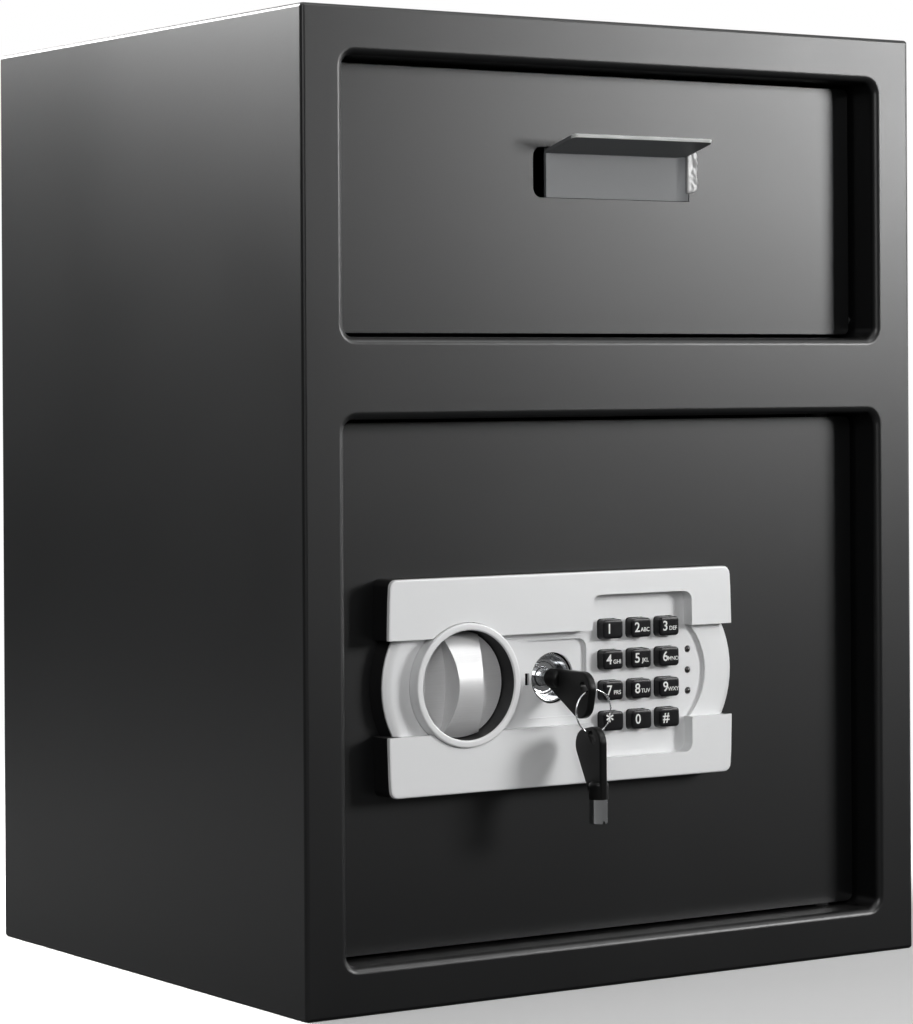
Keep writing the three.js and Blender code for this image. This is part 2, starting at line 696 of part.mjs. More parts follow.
const faceBackY = seatY + FACE_WALL;
const keypadLeft = knobX + KEYPAD_LEFT_FROM_KNOB;
const keypadRight = keypadLeft + KEYPAD_WIDTH;
const keypadTop = lockZ + KEYPAD_TOP_ABOVE;
const keypadBottom = lockZ - KEYPAD_BOTTOM_BELOW;

function keypadPocket(grow, floorY) {
  const front = bandY - overrun;
  const rect = roundedRectangle(
    keypadLeft - grow, keypadRight + grow, keypadBottom - grow, keypadTop + grow, KEYPAD_CORNER + grow, 4,
  );
  const rise = bandInner + grow;
  const arcX = keypadRight + KEYPAD_ARC_REACH - KEYPAD_ARC_RADIUS;
  const disc = rod('y', KEYPAD_ARC_RADIUS + grow, front, floorY, arcX, lockZ, 40);
  const beltHigh = box(arcX, keypadRight + PANEL_WIDTH, front, floorY, lockZ - rise, lockZ + rise);
  const belt = box(knobX, keypadRight, front, floorY, lockZ - rise, lockZ + rise);
  return join(prism('y', rect, front, floorY), disc.intersect(beltHigh), belt);
}

function seatPocket(grow, floorY) {
  const half = SEAT_HALF_WIDTH + grow;
  const rise = SEAT_HALF_HEIGHT + grow;
  const spread = [cylinderX - half, cylinderX + half, lockZ - rise, lockZ + rise];
  const outline = roundedRectangle(...spread, SEAT_CORNER, 4);
  return prism('y', outline, bandY - overrun, floorY);
}

// The front of the faceplate; the same form, smaller and further back, hollows it out
function faceForm(inset, back, endY) {
  const rounded = roundLevels(bandY + back, PANEL_EDGE_ROUND, 2, (edge) => panelOutline(edge + inset));
  const bands = loft([...rounded, { y: endY, outline: panelOutline(inset) }]);
  const gap = slab(bandY - overrun, endY + overrun, -bandInner - inset, bandInner + inset);
  const middle = loft([
    { y: midY + back, outline: midOutline(MID_BEVEL_WIDTH + inset) },
    { y: midY + MID_BEVEL_DEPTH + back, outline: midOutline(inset) },
    { y: endY, outline: midOutline(inset) },
  ]);
  const form = join(cut(bands, gap), middle);
  return cut(form, keypadPocket(inset, keypadY + back), seatPocket(inset, seatY + back));
}

const bandRimY = bandY + FACE_RIM;
const midRimY = midY + MID_BEVEL_DEPTH + FACE_RIM / 2;

// What lies inside the housing's walls, as a cutter
function housingHollow(inset, fromY, toY) {
  const bandHigh = PANEL_HEIGHT;
  const whole = prism('y', panelOutline(inset), fromY, toY);
  const upper = whole.intersect(slab(fromY, toY, bandInner + inset, bandHigh));
  const lower = whole.intersect(slab(fromY, toY, -bandHigh, -bandInner - inset));
  return join(upper, lower, prism('y', midOutline(inset), fromY, toY));
}

function buttonPlaces() {
  const centreX = (keypadLeft + keypadRight) / 2 + BUTTON_OFFSET_X;
  const centreZ = (keypadBottom + keypadTop) / 2 + BUTTON_OFFSET_Z;
  const places = [];
  for (let row = 0; row < BUTTON_ROWS; row += 1) {
    for (let column = 0; column < BUTTON_COLUMNS; column += 1) {
      const x = centreX + (column - (BUTTON_COLUMNS - 1) / 2) * BUTTON_PITCH_X;
      const z = centreZ - (row - (BUTTON_ROWS - 1) / 2) * BUTTON_PITCH_Z;
      places.push({ x, z });
    }
  }
  return places;
}

const ledX = keypadRight + LED_BEYOND_RIGHT;
const ledHeights = [1, 0, -1].map((step) => lockZ + step * LED_PITCH);

function buttonOutline(place, grow) {
  const half = BUTTON_WIDTH / 2 + grow;
  const rise = BUTTON_HEIGHT / 2 + grow;
  return roundedRectangle(place.x - half, place.x + half, place.z - rise, place.z + rise, BUTTON_CORNER, 3);
}

function lockFaceplate() {
  const shell = cut(faceForm(0, 0, faceBackY), faceForm(FACE_WALL, FACE_WALL, faceBackY + overrun));
  const far = faceBackY + overrun;
  const keep = housingHollow(HOUSING_WALL + FIT_GAP, bandY, far + overrun);
  const bandSides = [[bandInner, PANEL_HEIGHT], [-PANEL_HEIGHT, -bandInner]].map(([low, high]) =>
    slab(bandRimY, far, low, high));
  const midSides = slab(midRimY, far, -bandInner, bandInner);
  const trimmed = cut(shell, ...[...bandSides, midSides].map((side) => cut(side, keep)));
  const through = [bandY - overrun, far];
  const ringHole = rod('y', RING_OUTER_RADIUS + FIT_GAP, ...through, knobX, lockZ, 48);
  const keyHole = rod('y', KEY_BORE_RADIUS, ...through, cylinderX, lockZ, 32);
  const slotX = cylinderX - COVER_SLOT_FROM_AXIS;
  const slot = box(
    slotX - COVER_SLOT_WIDTH / 2, slotX + COVER_SLOT_WIDTH / 2, ...through,
    lockZ - COVER_SLOT_HEIGHT / 2, lockZ + COVER_SLOT_HEIGHT / 2,
  );
  const buttons = buttonPlaces().map((place) => prism('y', buttonOutline(place, FIT_GAP), ...through));
  const leds = ledHeights.map((z) => rod('y', LED_RADIUS + LED_CLEARANCE, ...through, ledX, z, 12));
  return cut(trimmed, ringHole, keyHole, slot, ...buttons, ...leds);
}

const boardBackY = panelY - FIT_GAP;
const boardFrontY = boardBackY - BOARD_SHEET;

function boardOutline(grow) {
  const left = buttonPlaces()[0].x - BUTTON_WIDTH / 2 - BOARD_LAP - grow;
  const right = ledX + BOARD_LAP + grow;
  const rise = BOARD_HEIGHT / 2 + grow;
  return rectangle(left, right, lockZ - rise, lockZ + rise);
}

function lockHousing() {
  const bands = [[bandInner, PANEL_HEIGHT], [-PANEL_HEIGHT, -bandInner]].map(([low, high]) =>
    prism('y', panelOutline(0), bandRimY, panelY).intersect(slab(bandRimY, panelY, low, high)));
  const middle = loft([
    { y: midRimY, outline: midOutline(0) },
    { y: panelY, outline: midOutline(-HOUSING_FLARE) },
  ]);
  const hollow = housingHollow(HOUSING_WALL, bandRimY - overrun, panelY - HOUSING_BACK);
  const through = [bandRimY - overrun, panelY + overrun];
  const shaftHole = rod('y', SHAFT_RADIUS + PIVOT_CLEARANCE, ...through, knobX, lockZ);
  const cylinderHole = rod('y', CYLINDER_RIM_RADIUS + FIT_GAP, ...through, cylinderX, lockZ);
  const boardHole = prism('y', boardOutline(FIT_GAP), ...through);
  return cut(join(middle, ...bands), hollow, shaftHole, cylinderHole, boardHole);
}

function keypadBoard() {
  return prism('y', boardOutline(0), boardFrontY, boardBackY);
}

function statusLed(z) {
  const tip = keypadY - LED_DOME;
  const dome = [
    [0, tip], [LED_RADIUS * 0.6, tip + LED_DOME * 0.2],
    [LED_RADIUS, keypadY], [LED_RADIUS, boardFrontY], [0, boardFrontY],
  ];
  return turned('y', dome, at(ledX, 0, z), 14);
}

// A keypad button: crowned cap, retaining flange behind the faceplate and a stem to the board
function keypadButton(place) {
  const capFront = keypadY - BUTTON_STAND;
  const flangeFront = keypadY + FACE_WALL + FIT_GAP;
  const flangeBack = flangeFront + BUTTON_FLANGE;
  const cap = loft([
    ...roundLevels(capFront, BUTTON_CROWN, 2, (edge) => buttonOutline(place, -edge)),
    { y: flangeBack, outline: buttonOutline(place, 0) },
  ]);
  const flange = prism('y', buttonOutline(place, BUTTON_FLANGE_LAP), flangeFront, flangeBack);
  const stemEnd = boardFrontY - BUTTON_TRAVEL - FIT_GAP;
  return join(cap, flange, rod('y', BUTTON_STEM_RADIUS, flangeFront, stemEnd, place.x, place.z, 12));
}

// Knob: a fixed ring, and a dial with a waisted grip that turns inside it
function knobRing() {
  const seat = panelY - HOUSING_BACK;
  const round = (RING_OUTER_RADIUS - RING_INNER_RADIUS) / 4;
  return turned('y', [
    [RING_INNER_RADIUS, seat],
    [RING_OUTER_RADIUS, seat],
    [RING_OUTER_RADIUS, rimY + round],
    [RING_OUTER_RADIUS - round, rimY],
    [RING_INNER_RADIUS + round, rimY],
    [RING_INNER_RADIUS, rimY + round],
    [RING_INNER_RADIUS, seat],
  ], at(knobX, 0, lockZ), 48);
}

function gripOutline() {
  const shares = [-1, -0.75, -0.5, -0.25, 0, 0.25, 0.5, 0.75, 1];
  const halfWidth = (share) => (GRIP_WAIST + (GRIP_END_WIDTH - GRIP_WAIST) * share * share) / 2;
  const right = shares.map((share) => point(knobX + halfWidth(share), lockZ + share * DIAL_RADIUS));
  const left = shares.map((share) => point(knobX - halfWidth(share), lockZ - share * DIAL_RADIUS));
  return [...right, ...left];
}

function gripProfile() {
  const shares = [-1, -0.75, -0.5, -0.25, 0, 0.25, 0.5, 0.75, 1];
  const height = (share) => GRIP_HEIGHT - (GRIP_HEIGHT - GRIP_END_HEIGHT) * share * share;
  const crown = shares.map((share) => point(dialY - height(share), lockZ - share * DIAL_RADIUS));
  return [...crown, point(dialY, lockZ - DIAL_RADIUS), point(dialY, lockZ + DIAL_RADIUS)];
}

function dialKnob() {
  const disc = rod('y', DIAL_RADIUS, dialY, dialY + DIAL_THICKNESS, knobX, lockZ, 40);
  const through = [dialY - GRIP_HEIGHT - overrun, dialY + DIAL_THICKNESS];
  const column = rod('y', DIAL_RADIUS, ...through, knobX, lockZ, 40);
  const halfWidth = GRIP_END_WIDTH;
  const fin = prism('x', gripProfile(), knobX - halfWidth, knobX + halfWidth);
  const plan = prism('y', gripOutline(), ...through);
  return join(disc, fin.intersect(plan).intersect(column));
}

const crankFrontY = doorBackY + CRANK_GAP;
const crankBackY = crankFrontY + CRANK_SHEET;
const crankPinX = knobX + CRANK_THROW * Math.sin(radians(CRANK_LEAD_DEG));
const crankPinZ = lockZ + CRANK_THROW * Math.cos(radians(CRANK_LEAD_DEG));
const carriageFrontY = boltY - CARRIAGE_SHEET / 2;
const carriageBackY = boltY + CARRIAGE_SHEET / 2;

// Shaft, crank disc and crank pin are one welded piece
function knobCrank() {
  const shaft = rod('y', SHAFT_RADIUS, dialY + DIAL_THICKNESS, crankBackY, knobX, lockZ);
  const disc = rod('y', CRANK_RADIUS, crankFrontY, crankBackY, knobX, lockZ, 36);
  const pin = rod('y', CRANK_PIN_RADIUS, crankFrontY, carriageBackY + FIT_GAP, crankPinX, crankPinZ, 16);
  return join(shaft, disc, pin);
}

// Boltwork
const boltTipX = -openingHalf + BOLT_TIP_INSET;
const barLeft = boltTipX + BOLT_LENGTH;
const barRight = barLeft + CARRIAGE_BAR;
const lugRight = barRight + LUG_REACH;
const lugTop = lockZ - LUG_BELOW_KNOB;
const lugBottom = lugTop - LUG_ARM - LUG_DROP;
const plungerX = lugRight - LUG_WIDTH - PLUNGER_SIDE_GAP - PLUNGER_RADIUS;
const plungerTop = lugBottom - PLUNGER_LUG_GAP;

function boltCarriage() {
  const rise = BOLT_SPREAD + CARRIAGE_OVERHANG;
  const slotHalf = CRANK_PIN_RADIUS + SLOT_CLEARANCE;
  const slotHigh = lockZ + CRANK_THROW + slotHalf;
  const slotLow = crankPinZ - slotHalf;
  const across = [carriageFrontY, carriageBackY];
  const bar = box(barLeft, barRight, ...across, lockZ - rise, lockZ + rise);
  const armEnds = [barRight - overrun, crankPinX + slotHalf + SLOT_MARGIN];
  const arm = box(...armEnds, ...across, slotLow - SLOT_MARGIN, slotHigh + SLOT_MARGIN);
  const lugArm = box(barRight - overrun, lugRight, ...across, lugTop - LUG_ARM, lugTop);
  const lug = box(lugRight - LUG_WIDTH, lugRight, ...across, lugBottom, lugTop);
  const slotLength = slotHigh - slotLow - 2 * slotHalf;
  const track = slotOutline(crankPinX, (slotLow + slotHigh) / 2, slotHalf, slotLength, 6);
  const slot = prism('y', track, carriageFrontY - overrun, carriageBackY + overrun);
  return cut(join(bar, arm, lugArm, lug), slot);
}

function liveBolt(side) {
  const chamfer = BOLT_RADIUS / 5;
  return turned('x', [
    [0, boltTipX],
    [BOLT_RADIUS - chamfer, boltTipX],
    [BOLT_RADIUS, boltTipX + chamfer],
    [BOLT_RADIUS, barLeft],
    [0, barLeft],
  ], at(0, boltY, lockZ + side * BOLT_SPREAD), 28);
}

function solenoidBody() {
  const top = plungerTop - PLUNGER_RISE;
  const body = box(
    plungerX - SOLENOID_WIDTH / 2, plungerX + SOLENOID_WIDTH / 2,
    doorBackY, boltY + SOLENOID_DEPTH / 2, top - SOLENOID_HEIGHT, top,
  );
  const boreEnds = [plungerTop - PLUNGER_LENGTH - FIT_GAP, top + overrun];
  const bore = rod('z', PLUNGER_RADIUS + PIVOT_CLEARANCE, ...boreEnds, plungerX, boltY, 16);
  return cut(body, bore);
}

function solenoidPlunger() {
  return rod('z', PLUNGER_RADIUS, plungerTop - PLUNGER_LENGTH, plungerTop, plungerX, boltY, 16);
}

// Rear cover of the lock
const coverLeft = barLeft - BOLT_TRAVEL - COVER_LEFT_GAP - COVER_SHEET;
const coverRight = coverLeft + COVER_WIDTH;
const coverRise = COVER_HEIGHT / 2;
const batteryInnerWidth = CELL_PITCH * CELL_COUNT;
const batteryInnerHeight = CELL_LENGTH + CELL_NIPPLE + 2 * CELL_END_GAP;
const batteryRight = coverRight - COVER_SHEET - BATTERY_FROM_RIGHT;
const batteryLeft = batteryRight - batteryInnerWidth - 2 * BATTERY_WALL;
const batteryZ = lockZ + BATTERY_ABOVE;
const batteryBackY = coverBackY - COVER_SHEET;
const batteryFrontY = batteryBackY - CELL_PITCH - BATTERY_WALL;
const lidLeft = batteryLeft - LID_LAP;
const lidRight = batteryRight + LID_LAP;
const lidRise = batteryInnerHeight / 2 + LID_LAP;
const resetX = (batteryLeft + batteryRight) / 2;
const resetZ = batteryZ - lidRise - RESET_BELOW / 2;

function screwPlaces() {
  const x0 = coverLeft - COVER_FLANGE / 2;
  const x1 = coverRight + COVER_FLANGE / 2;
  const rise = coverRise - COVER_FLANGE;
  return [[x0, lockZ - rise], [x1, lockZ - rise], [x0, lockZ + rise], [x1, lockZ + rise]];
}

function lidRail(side) {
  const foot = batteryZ + side * (lidRise + FIT_GAP);
  const top = foot + side * LID_SHEET;
  const lip = foot - side * LID_SHEET;
  const inner = coverBackY + LID_SHEET + 2 * FIT_GAP;
  const span = (a, b) => [Math.min(a, b), Math.max(a, b)];
  const wall = box(lidLeft, lidRight, coverBackY - COVER_SHEET / 2, inner + COVER_SHEET, ...span(foot, top));
  return join(wall, box(lidLeft, lidRight, inner, inner + COVER_SHEET, ...span(lip, top)));
}

function lockCover() {
  const shell = cut(
    box(coverLeft, coverRight, doorBackY, coverBackY, lockZ - coverRise, lockZ + coverRise),
    box(coverLeft + COVER_SHEET, coverRight - COVER_SHEET, doorBackY - overrun, coverBackY - COVER_SHEET,
      lockZ - coverRise + COVER_SHEET, lockZ + coverRise - COVER_SHEET),
  );
  const flange = cut(
    box(coverLeft - COVER_FLANGE, coverRight + COVER_FLANGE, doorBackY, doorBackY + COVER_SHEET,
      lockZ - coverRise, lockZ + coverRise),
    box(coverLeft + COVER_SHEET, coverRight - COVER_SHEET, doorBackY - overrun, doorBackY + overrun,
      lockZ - coverRise + COVER_SHEET, lockZ + coverRise - COVER_SHEET),
  );
  const bolts = bothSides.map((side) =>
    rod(
      'x', BOLT_RADIUS + BOLT_CLEARANCE, coverLeft - COVER_FLANGE - overrun, coverLeft + 2 * COVER_SHEET,
      boltY, lockZ + side * BOLT_SPREAD,
    ));
  const hatch = box(
    batteryLeft + BATTERY_WALL, batteryRight - BATTERY_WALL, batteryBackY - overrun, coverBackY + overrun,
    batteryZ - batteryInnerHeight / 2, batteryZ + batteryInnerHeight / 2,
  );
  const reset = rod('y', RESET_RADIUS + FIT_GAP, batteryBackY - overrun, coverBackY + overrun, resetX, resetZ, 20);
  const screws = screwPlaces().map(([x, z]) =>
    rod('y', SCREW_SHANK_RADIUS + FIT_GAP, doorBackY - overrun, doorBackY + COVER_SHEET + overrun, x, z, 12));
  const body = join(shell, flange, ...bothSides.map(lidRail));
  return cut(body, ...bolts, hatch, reset, ...screws);
}

function coverScrew([x, z]) {
  const seat = doorBackY + COVER_SHEET;
  const head = SCREW_HEAD_RADIUS;
  return turned('y', [
    [0, doorBackY],
    [SCREW_SHANK_RADIUS, doorBackY],
    [SCREW_SHANK_RADIUS, seat],
    [head, seat],
    [head, seat + SCREW_HEAD_HEIGHT / 2],
    [head / 2, seat + SCREW_HEAD_HEIGHT],
    [0, seat + SCREW_HEAD_HEIGHT],
  ], at(x, 0, z), 16);
}

function batteryBox() {
  const rise = batteryInnerHeight / 2;
  const outer = box(
    batteryLeft, batteryRight, batteryFrontY, batteryBackY,
    batteryZ - rise - BATTERY_WALL, batteryZ + rise + BATTERY_WALL,
  );
  const inner = box(
    batteryLeft + BATTERY_WALL, batteryRight - BATTERY_WALL,
    batteryFrontY + BATTERY_WALL, batteryBackY + overrun, batteryZ - rise, batteryZ + rise,
  );
  return cut(outer, inner);
}

function batteryCell(i) {
  const x = batteryLeft + BATTERY_WALL + (i + 1 / 2) * CELL_PITCH;
  const y = batteryFrontY + BATTERY_WALL + CELL_PITCH / 2;
  const start = -batteryInnerHeight / 2 + CELL_END_GAP;
  const facing = i % 2 === 0 ? 1 : -1;
  const profile = [
    [0, start],
    [CELL_RADIUS, start],
    [CELL_RADIUS, start + CELL_LENGTH],
    [CELL_NIPPLE_RADIUS, start + CELL_LENGTH],
    [CELL_NIPPLE_RADIUS, start + CELL_LENGTH + CELL_NIPPLE],
    [0, start + CELL_LENGTH + CELL_NIPPLE],
  ].map(([r, along]) => [r, facing * along]);
  return turned('z', profile, at(x, y, batteryZ), 20);
}

function batteryLid() {
  const lidY = coverBackY + FIT_GAP;
  return box(lidLeft, lidRight, lidY, lidY + LID_SHEET, batteryZ - lidRise, batteryZ + lidRise);
}

function resetButton() {
  const collarBack = batteryBackY - FIT_GAP;
  const capEnd = coverBackY + RESET_PROUD;
  const cap = rod('y', RESET_RADIUS, capEnd - RESET_LENGTH, capEnd, resetX, resetZ, 20);
  return join(cap, rod('y', RESET_RADIUS + RESET_COLLAR, collarBack - RESET_COLLAR, collarBack, resetX, resetZ, 20));
}

// Key cylinder, plug and cam
const rimFrontY = panelY - CYLINDER_RIM;
const cylinderFaceY = rimFrontY + CYLINDER_FACE_INSET;
const cylinderEndY = cylinderFaceY + CYLINDER_LENGTH;

// A tubular lock: the key's tube goes round the post of the plug
function lockCylinder() {
  const front = KEY_TUBE_RADIUS + FIT_GAP;
  const rear = PLUG_RADIUS + PIVOT_CLEARANCE;
  const step = cylinderFaceY + PLUG_DEPTH;
  return turned('y', [
    [front, cylinderFaceY],
    [CYLINDER_LIP_RADIUS, cylinderFaceY],
    [CYLINDER_LIP_RADIUS + CYLINDER_LIP_CONE, rimFrontY],
    [CYLINDER_RIM_RADIUS, rimFrontY],
    [CYLINDER_RIM_RADIUS, panelY],
    [CYLINDER_RADIUS, panelY],
    [CYLINDER_RADIUS, cylinderEndY],
    [rear, cylinderEndY],
    [rear, step],
    [front, step],
    [front, cylinderFaceY],
  ], at(cylinderX, 0, lockZ), 32);
}

function keyPlug() {
  const step = cylinderFaceY + PLUG_DEPTH + FIT_GAP;
  return turned('y', [
    [0, cylinderFaceY],
    [POST_RADIUS, cylinderFaceY],
    [POST_RADIUS, step],
    [PLUG_RADIUS, step],
    [PLUG_RADIUS, cylinderEndY + FIT_GAP],
    [0, cylinderEndY + FIT_GAP],
  ], at(cylinderX, 0, lockZ), 28);
}

function lockCam() {
  const from = cylinderEndY + FIT_GAP;
  const outline = slotOutline(cylinderX, lockZ - CAM_REACH / 2, CAM_HALF_WIDTH, CAM_REACH, 8);
  return prism('y', outline, from, from + CAM_SHEET);
}

// A key lies along u, from its shoulder to the round end, with its straight edge at high v
const keyHoleU = KEY_BOW_LENGTH - KEY_HOLE_FROM_END;
const keySlant = radians(KEY_HOLE_SLANT_DEG);
const ringU = keyHoleU + (KEY_HOLE_LENGTH / 2) * Math.cos(keySlant);
const ringV = -KEY_HOLE_BELOW - (KEY_HOLE_LENGTH / 2) * Math.sin(keySlant);

function bowOutline() {
  const farU = KEY_BOW_LENGTH - KEY_BOW_RADIUS;
  const farV = KEY_NECK_RADIUS - KEY_BOW_RADIUS;
  const lowU = farU - KEY_BOW_SET;
  const lowV = farV - KEY_BOW_DROP;
  const meetDeg = THREE.MathUtils.radToDeg(Math.atan2(-KEY_BOW_SET, KEY_BOW_DROP));
  return [
    point(0, KEY_NECK_RADIUS),
    point(0, -KEY_NECK_RADIUS),
    point(KEY_NECK_STRAIGHT, -KEY_NECK_RADIUS),
    ...arc(lowU, lowV, KEY_BOW_RADIUS, -124, meetDeg, 8),
    ...arc(farU, farV, KEY_BOW_RADIUS, meetDeg, 90, 8),
  ];
}

function holeOutline() {
  const turn = new THREE.Vector2();
  return slotOutline(0, 0, KEY_HOLE_RADIUS, KEY_HOLE_LENGTH, 6).map((p) =>
    p.clone().rotateAround(turn, Math.PI / 2 - keySlant).add(point(keyHoleU, -KEY_HOLE_BELOW)));
}

// Both keys are drawn with u towards the viewer and v up, and set in place afterwards
const towardViewer = (p) => point(-p.x, p.y);

function keyBow() {
  const half = KEY_BOW_SHEET / 2;
  const plate = prism('x', bowOutline().map(towardViewer), -half, half);
  const hole = prism('x', holeOutline().map(towardViewer), -half - overrun, half + overrun);
  return cut(join(plate, rod('y', KEY_NECK_RADIUS, -KEY_NECK_LENGTH, 0, 0, 0, 24)), hole);
}

function keyTube() {
  const inner = KEY_TUBE_RADIUS - KEY_TUBE_WALL;
  const tube = cut(
    rod('y', KEY_TUBE_RADIUS, 0, KEY_TUBE_LENGTH, 0, 0, 24),
    rod('y', inner, -overrun, KEY_TUBE_LENGTH + overrun, 0, 0, 24),
  );
  const half = KEY_NOTCH_WIDTH / 2;
  const notch = box(
    -half, half, KEY_TUBE_LENGTH - KEY_NOTCH_DEPTH, KEY_TUBE_LENGTH + overrun, 0, KEY_TUBE_RADIUS + overrun,
  );
  return cut(tube, notch);
}

// The ring's wire lies at the low end of one key's hole and carries the other key's hole
const shoulderY = cylinderFaceY - KEY_FACE_GAP;
const wireDip = (across) => RING_CENTRE_RADIUS - Math.sqrt(RING_CENTRE_RADIUS ** 2 - across ** 2);
const wireRest = RING_WIRE_RADIUS + RING_PLAY;
const ringX = cylinderX + RING_OFFSET_X;
const ringY = shoulderY - ringU;
const ringHighZ = lockZ + ringV - KEY_HOLE_RADIUS + wireRest + wireDip(RING_OFFSET_X + KEY_BOW_SHEET / 2);
const ringZ = ringHighZ - RING_CENTRE_RADIUS;
const spareDip = wireDip(KEY_BOW_SHEET / 2 + RING_WIRE_RADIUS);
const spareShoulderZ = ringZ - RING_CENTRE_RADIUS + spareDip + wireRest - ringU - KEY_HOLE_RADIUS;

function keyRing() {
  const torus = new THREE.TorusGeometry(RING_CENTRE_RADIUS, RING_WIRE_RADIUS, 8, 40);
  torus.rotateX(Math.PI / 2);
  torus.translate(ringX, ringY, ringZ);
  return asSolid(torus);
}

// Hangs a key on the ring: its u axis points up and its straight edge faces the viewer
function hung(solid) {
  const spun = solid.rotate([-90, 0, 180]).translate([0, ringV, 0]);
  return spun.rotate([0, 0, -SPARE_TURN_DEG]).translate([ringX, ringY, spareShoulderZ]);
}

const inserted = (solid) => solid.translate([cylinderX, shoulderY, lockZ]);

// Assembly
place('body_shell', bodyShell(), blackPaint);
place('back_panel', backPanel(), blackPaint);
place('front_frame', frontFrame(), blackPaint);
place('drop_baffle', dropBaffle(), blackPaint);

place('hopper_panel', hopperPanel(), blackPaint);
place('hopper_tray', hopperTray(), zincSteel);
place('hopper_cheek_left', hopperCheek(-1), zincSteel);
place('hopper_cheek_right', hopperCheek(1), zincSteel);
place('hopper_pin_left', hopperPin(-1), zincSteel);
place('hopper_pin_right', hopperPin(1), zincSteel);
place('deposit_handle', depositHandle(), greyPaint);

place('door_plate', doorPlate(), blackPaint);
place('hinge_knuckle_upper', hingeKnuckle(1), zincSteel);
place('hinge_knuckle_lower', hingeKnuckle(-1), zincSteel);
place('lock_housing', lockHousing(), blackPlastic);
place('lock_faceplate', lockFaceplate(), silverPlastic);
place('keypad_board', keypadBoard(), boardGreen);
ledHeights.forEach((z, i) => place(`status_led_${i + 1}`, statusLed(z), ledLens));
place('knob_ring', knobRing(), satinSilver);
place('lock_cylinder', lockCylinder(), chrome);
place('solenoid_body', solenoidBody(), zincSteel);
place('battery_box', batteryBox(), blackPlastic);
for (let i = 0; i < CELL_COUNT; i += 1) place(`battery_cell_${i + 1}`, batteryCell(i), cellWrap);
place('lock_cover', lockCover(), blackPaint);
screwPlaces().forEach((spot, i) => place(`cover_screw_${i + 1}`, coverScrew(spot), zincSteel));

place('dial_knob', dialKnob(), satinSilver);
place('knob_crank', knobCrank(), zincSteel);
place('bolt_carriage', boltCarriage(), zincSteel);
place('live_bolt_upper', liveBolt(1), zincSteel);
place('live_bolt_lower', liveBolt(-1), zincSteel);
place('solenoid_plunger', solenoidPlunger(), zincSteel);

const buttonNames = ['1', '2', '3', '4', '5', '6', '7', '8', '9', 'star', '0', 'hash'];
buttonPlaces().forEach((spot, i) => place(`button_${buttonNames[i]}`, keypadButton(spot), buttonPlastic));
place('reset_button', resetButton(), redPlastic);
place('battery_lid', batteryLid(), blackPlastic);

place('key_plug', keyPlug(), chrome);
place('lock_cam', lockCam(), zincSteel);
place('key_bow', inserted(keyBow()), keyPlastic);
place('key_tube', inserted(keyTube()), zincSteel);
place('key_ring', keyRing(), zincSteel);
place('spare_key_bow', hung(keyBow()), keyPlastic);
place('spare_key_tube', hung(keyTube()), zincSteel);

export default safe;
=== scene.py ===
"""Drop safe with deposit drawer: the visual model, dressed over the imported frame.

Sizes are in millimetres in the fields below, and turned into metres where a mesh is made. The
studio's lamps and floor, which aren't part of the safe, are in metres.
"""

import logging
import math
from dataclasses import dataclass
from enum import Enum
from typing import Callable, Sequence

import bmesh
import bpy
from mathutils import Matrix, Vector


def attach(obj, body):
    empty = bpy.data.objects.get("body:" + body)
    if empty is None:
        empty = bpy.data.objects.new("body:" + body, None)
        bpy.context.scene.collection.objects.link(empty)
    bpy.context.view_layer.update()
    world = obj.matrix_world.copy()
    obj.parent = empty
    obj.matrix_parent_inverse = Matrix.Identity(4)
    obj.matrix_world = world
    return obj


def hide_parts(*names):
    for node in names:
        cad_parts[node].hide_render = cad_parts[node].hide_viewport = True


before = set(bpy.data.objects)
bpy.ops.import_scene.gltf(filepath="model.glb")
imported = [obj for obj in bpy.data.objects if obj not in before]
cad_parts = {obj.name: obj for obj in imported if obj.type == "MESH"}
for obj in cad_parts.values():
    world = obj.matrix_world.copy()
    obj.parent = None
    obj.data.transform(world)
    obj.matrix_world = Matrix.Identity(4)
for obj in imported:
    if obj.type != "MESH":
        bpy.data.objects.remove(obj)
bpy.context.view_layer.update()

Piece = bpy.types.Object
Material = bpy.types.Material
Socket = bpy.types.NodeSocket
Pair = tuple[float, float]
Point = tuple[float, float, float]
Colour = tuple[float, float, float, float]
Test = Callable[..., bool]

LOG = logging.getLogger("drop_safe")

MM = 0.001
TOUCH = 0.02  # a point this close to a plane lies on it
NEAR = 1.0  # a point this close to the end of a piece belongs to that end
OVERRUN = 5.0  # how far a cutter passes what it cuts
WELD = 0.002  # points closer than this become one
FLAT_JOIN = 0.6  # faces that turn by fewer degrees than this are one flat
PARALLEL = 0.999
FLAT_WEIGHT = 50
COLOUR_MIX_INPUTS = (0, 6, 7)
COLOUR_MIX_OUTPUT = 2
DUST_COLOUR = (0.46, 0.44, 0.41, 1.0)
DUST_DULLING = 0.3
RUB_POLISH = 0.12
COAT_ROUGHNESS = 0.12


class Axis(Enum):
    """The direction that a round part lies along."""

    X = (1.0, 0.0, 0.0)
    Y = (0.0, 1.0, 0.0)
    Z = (0.0, 0.0, 1.0)

    def turn(self) -> Point:
        """Return the rotation that lays an upright primitive along this axis."""
        quarter = math.pi / 2
        return {Axis.X: (0.0, quarter, 0.0), Axis.Y: (quarter, 0.0, 0.0), Axis.Z: (0.0, 0.0, 0.0)}[self]

    def put(self, point: Point, value: float) -> Vector:
        """Return a point with its place along this axis replaced.

        Args:
            point: the point.
            value: its new place along the axis.
        """
        place = Vector(point)
        place["XYZ".index(self.name)] = value
        return place


class Cut(Enum):
    """What a second solid does to the first."""

    AWAY = "DIFFERENCE"
    JOIN = "UNION"
    KEEP = "INTERSECT"


class Kind(Enum):
    """What a pick selects."""

    POINT = "VERT"
    EDGE = "EDGE"
    FACE = "FACE"


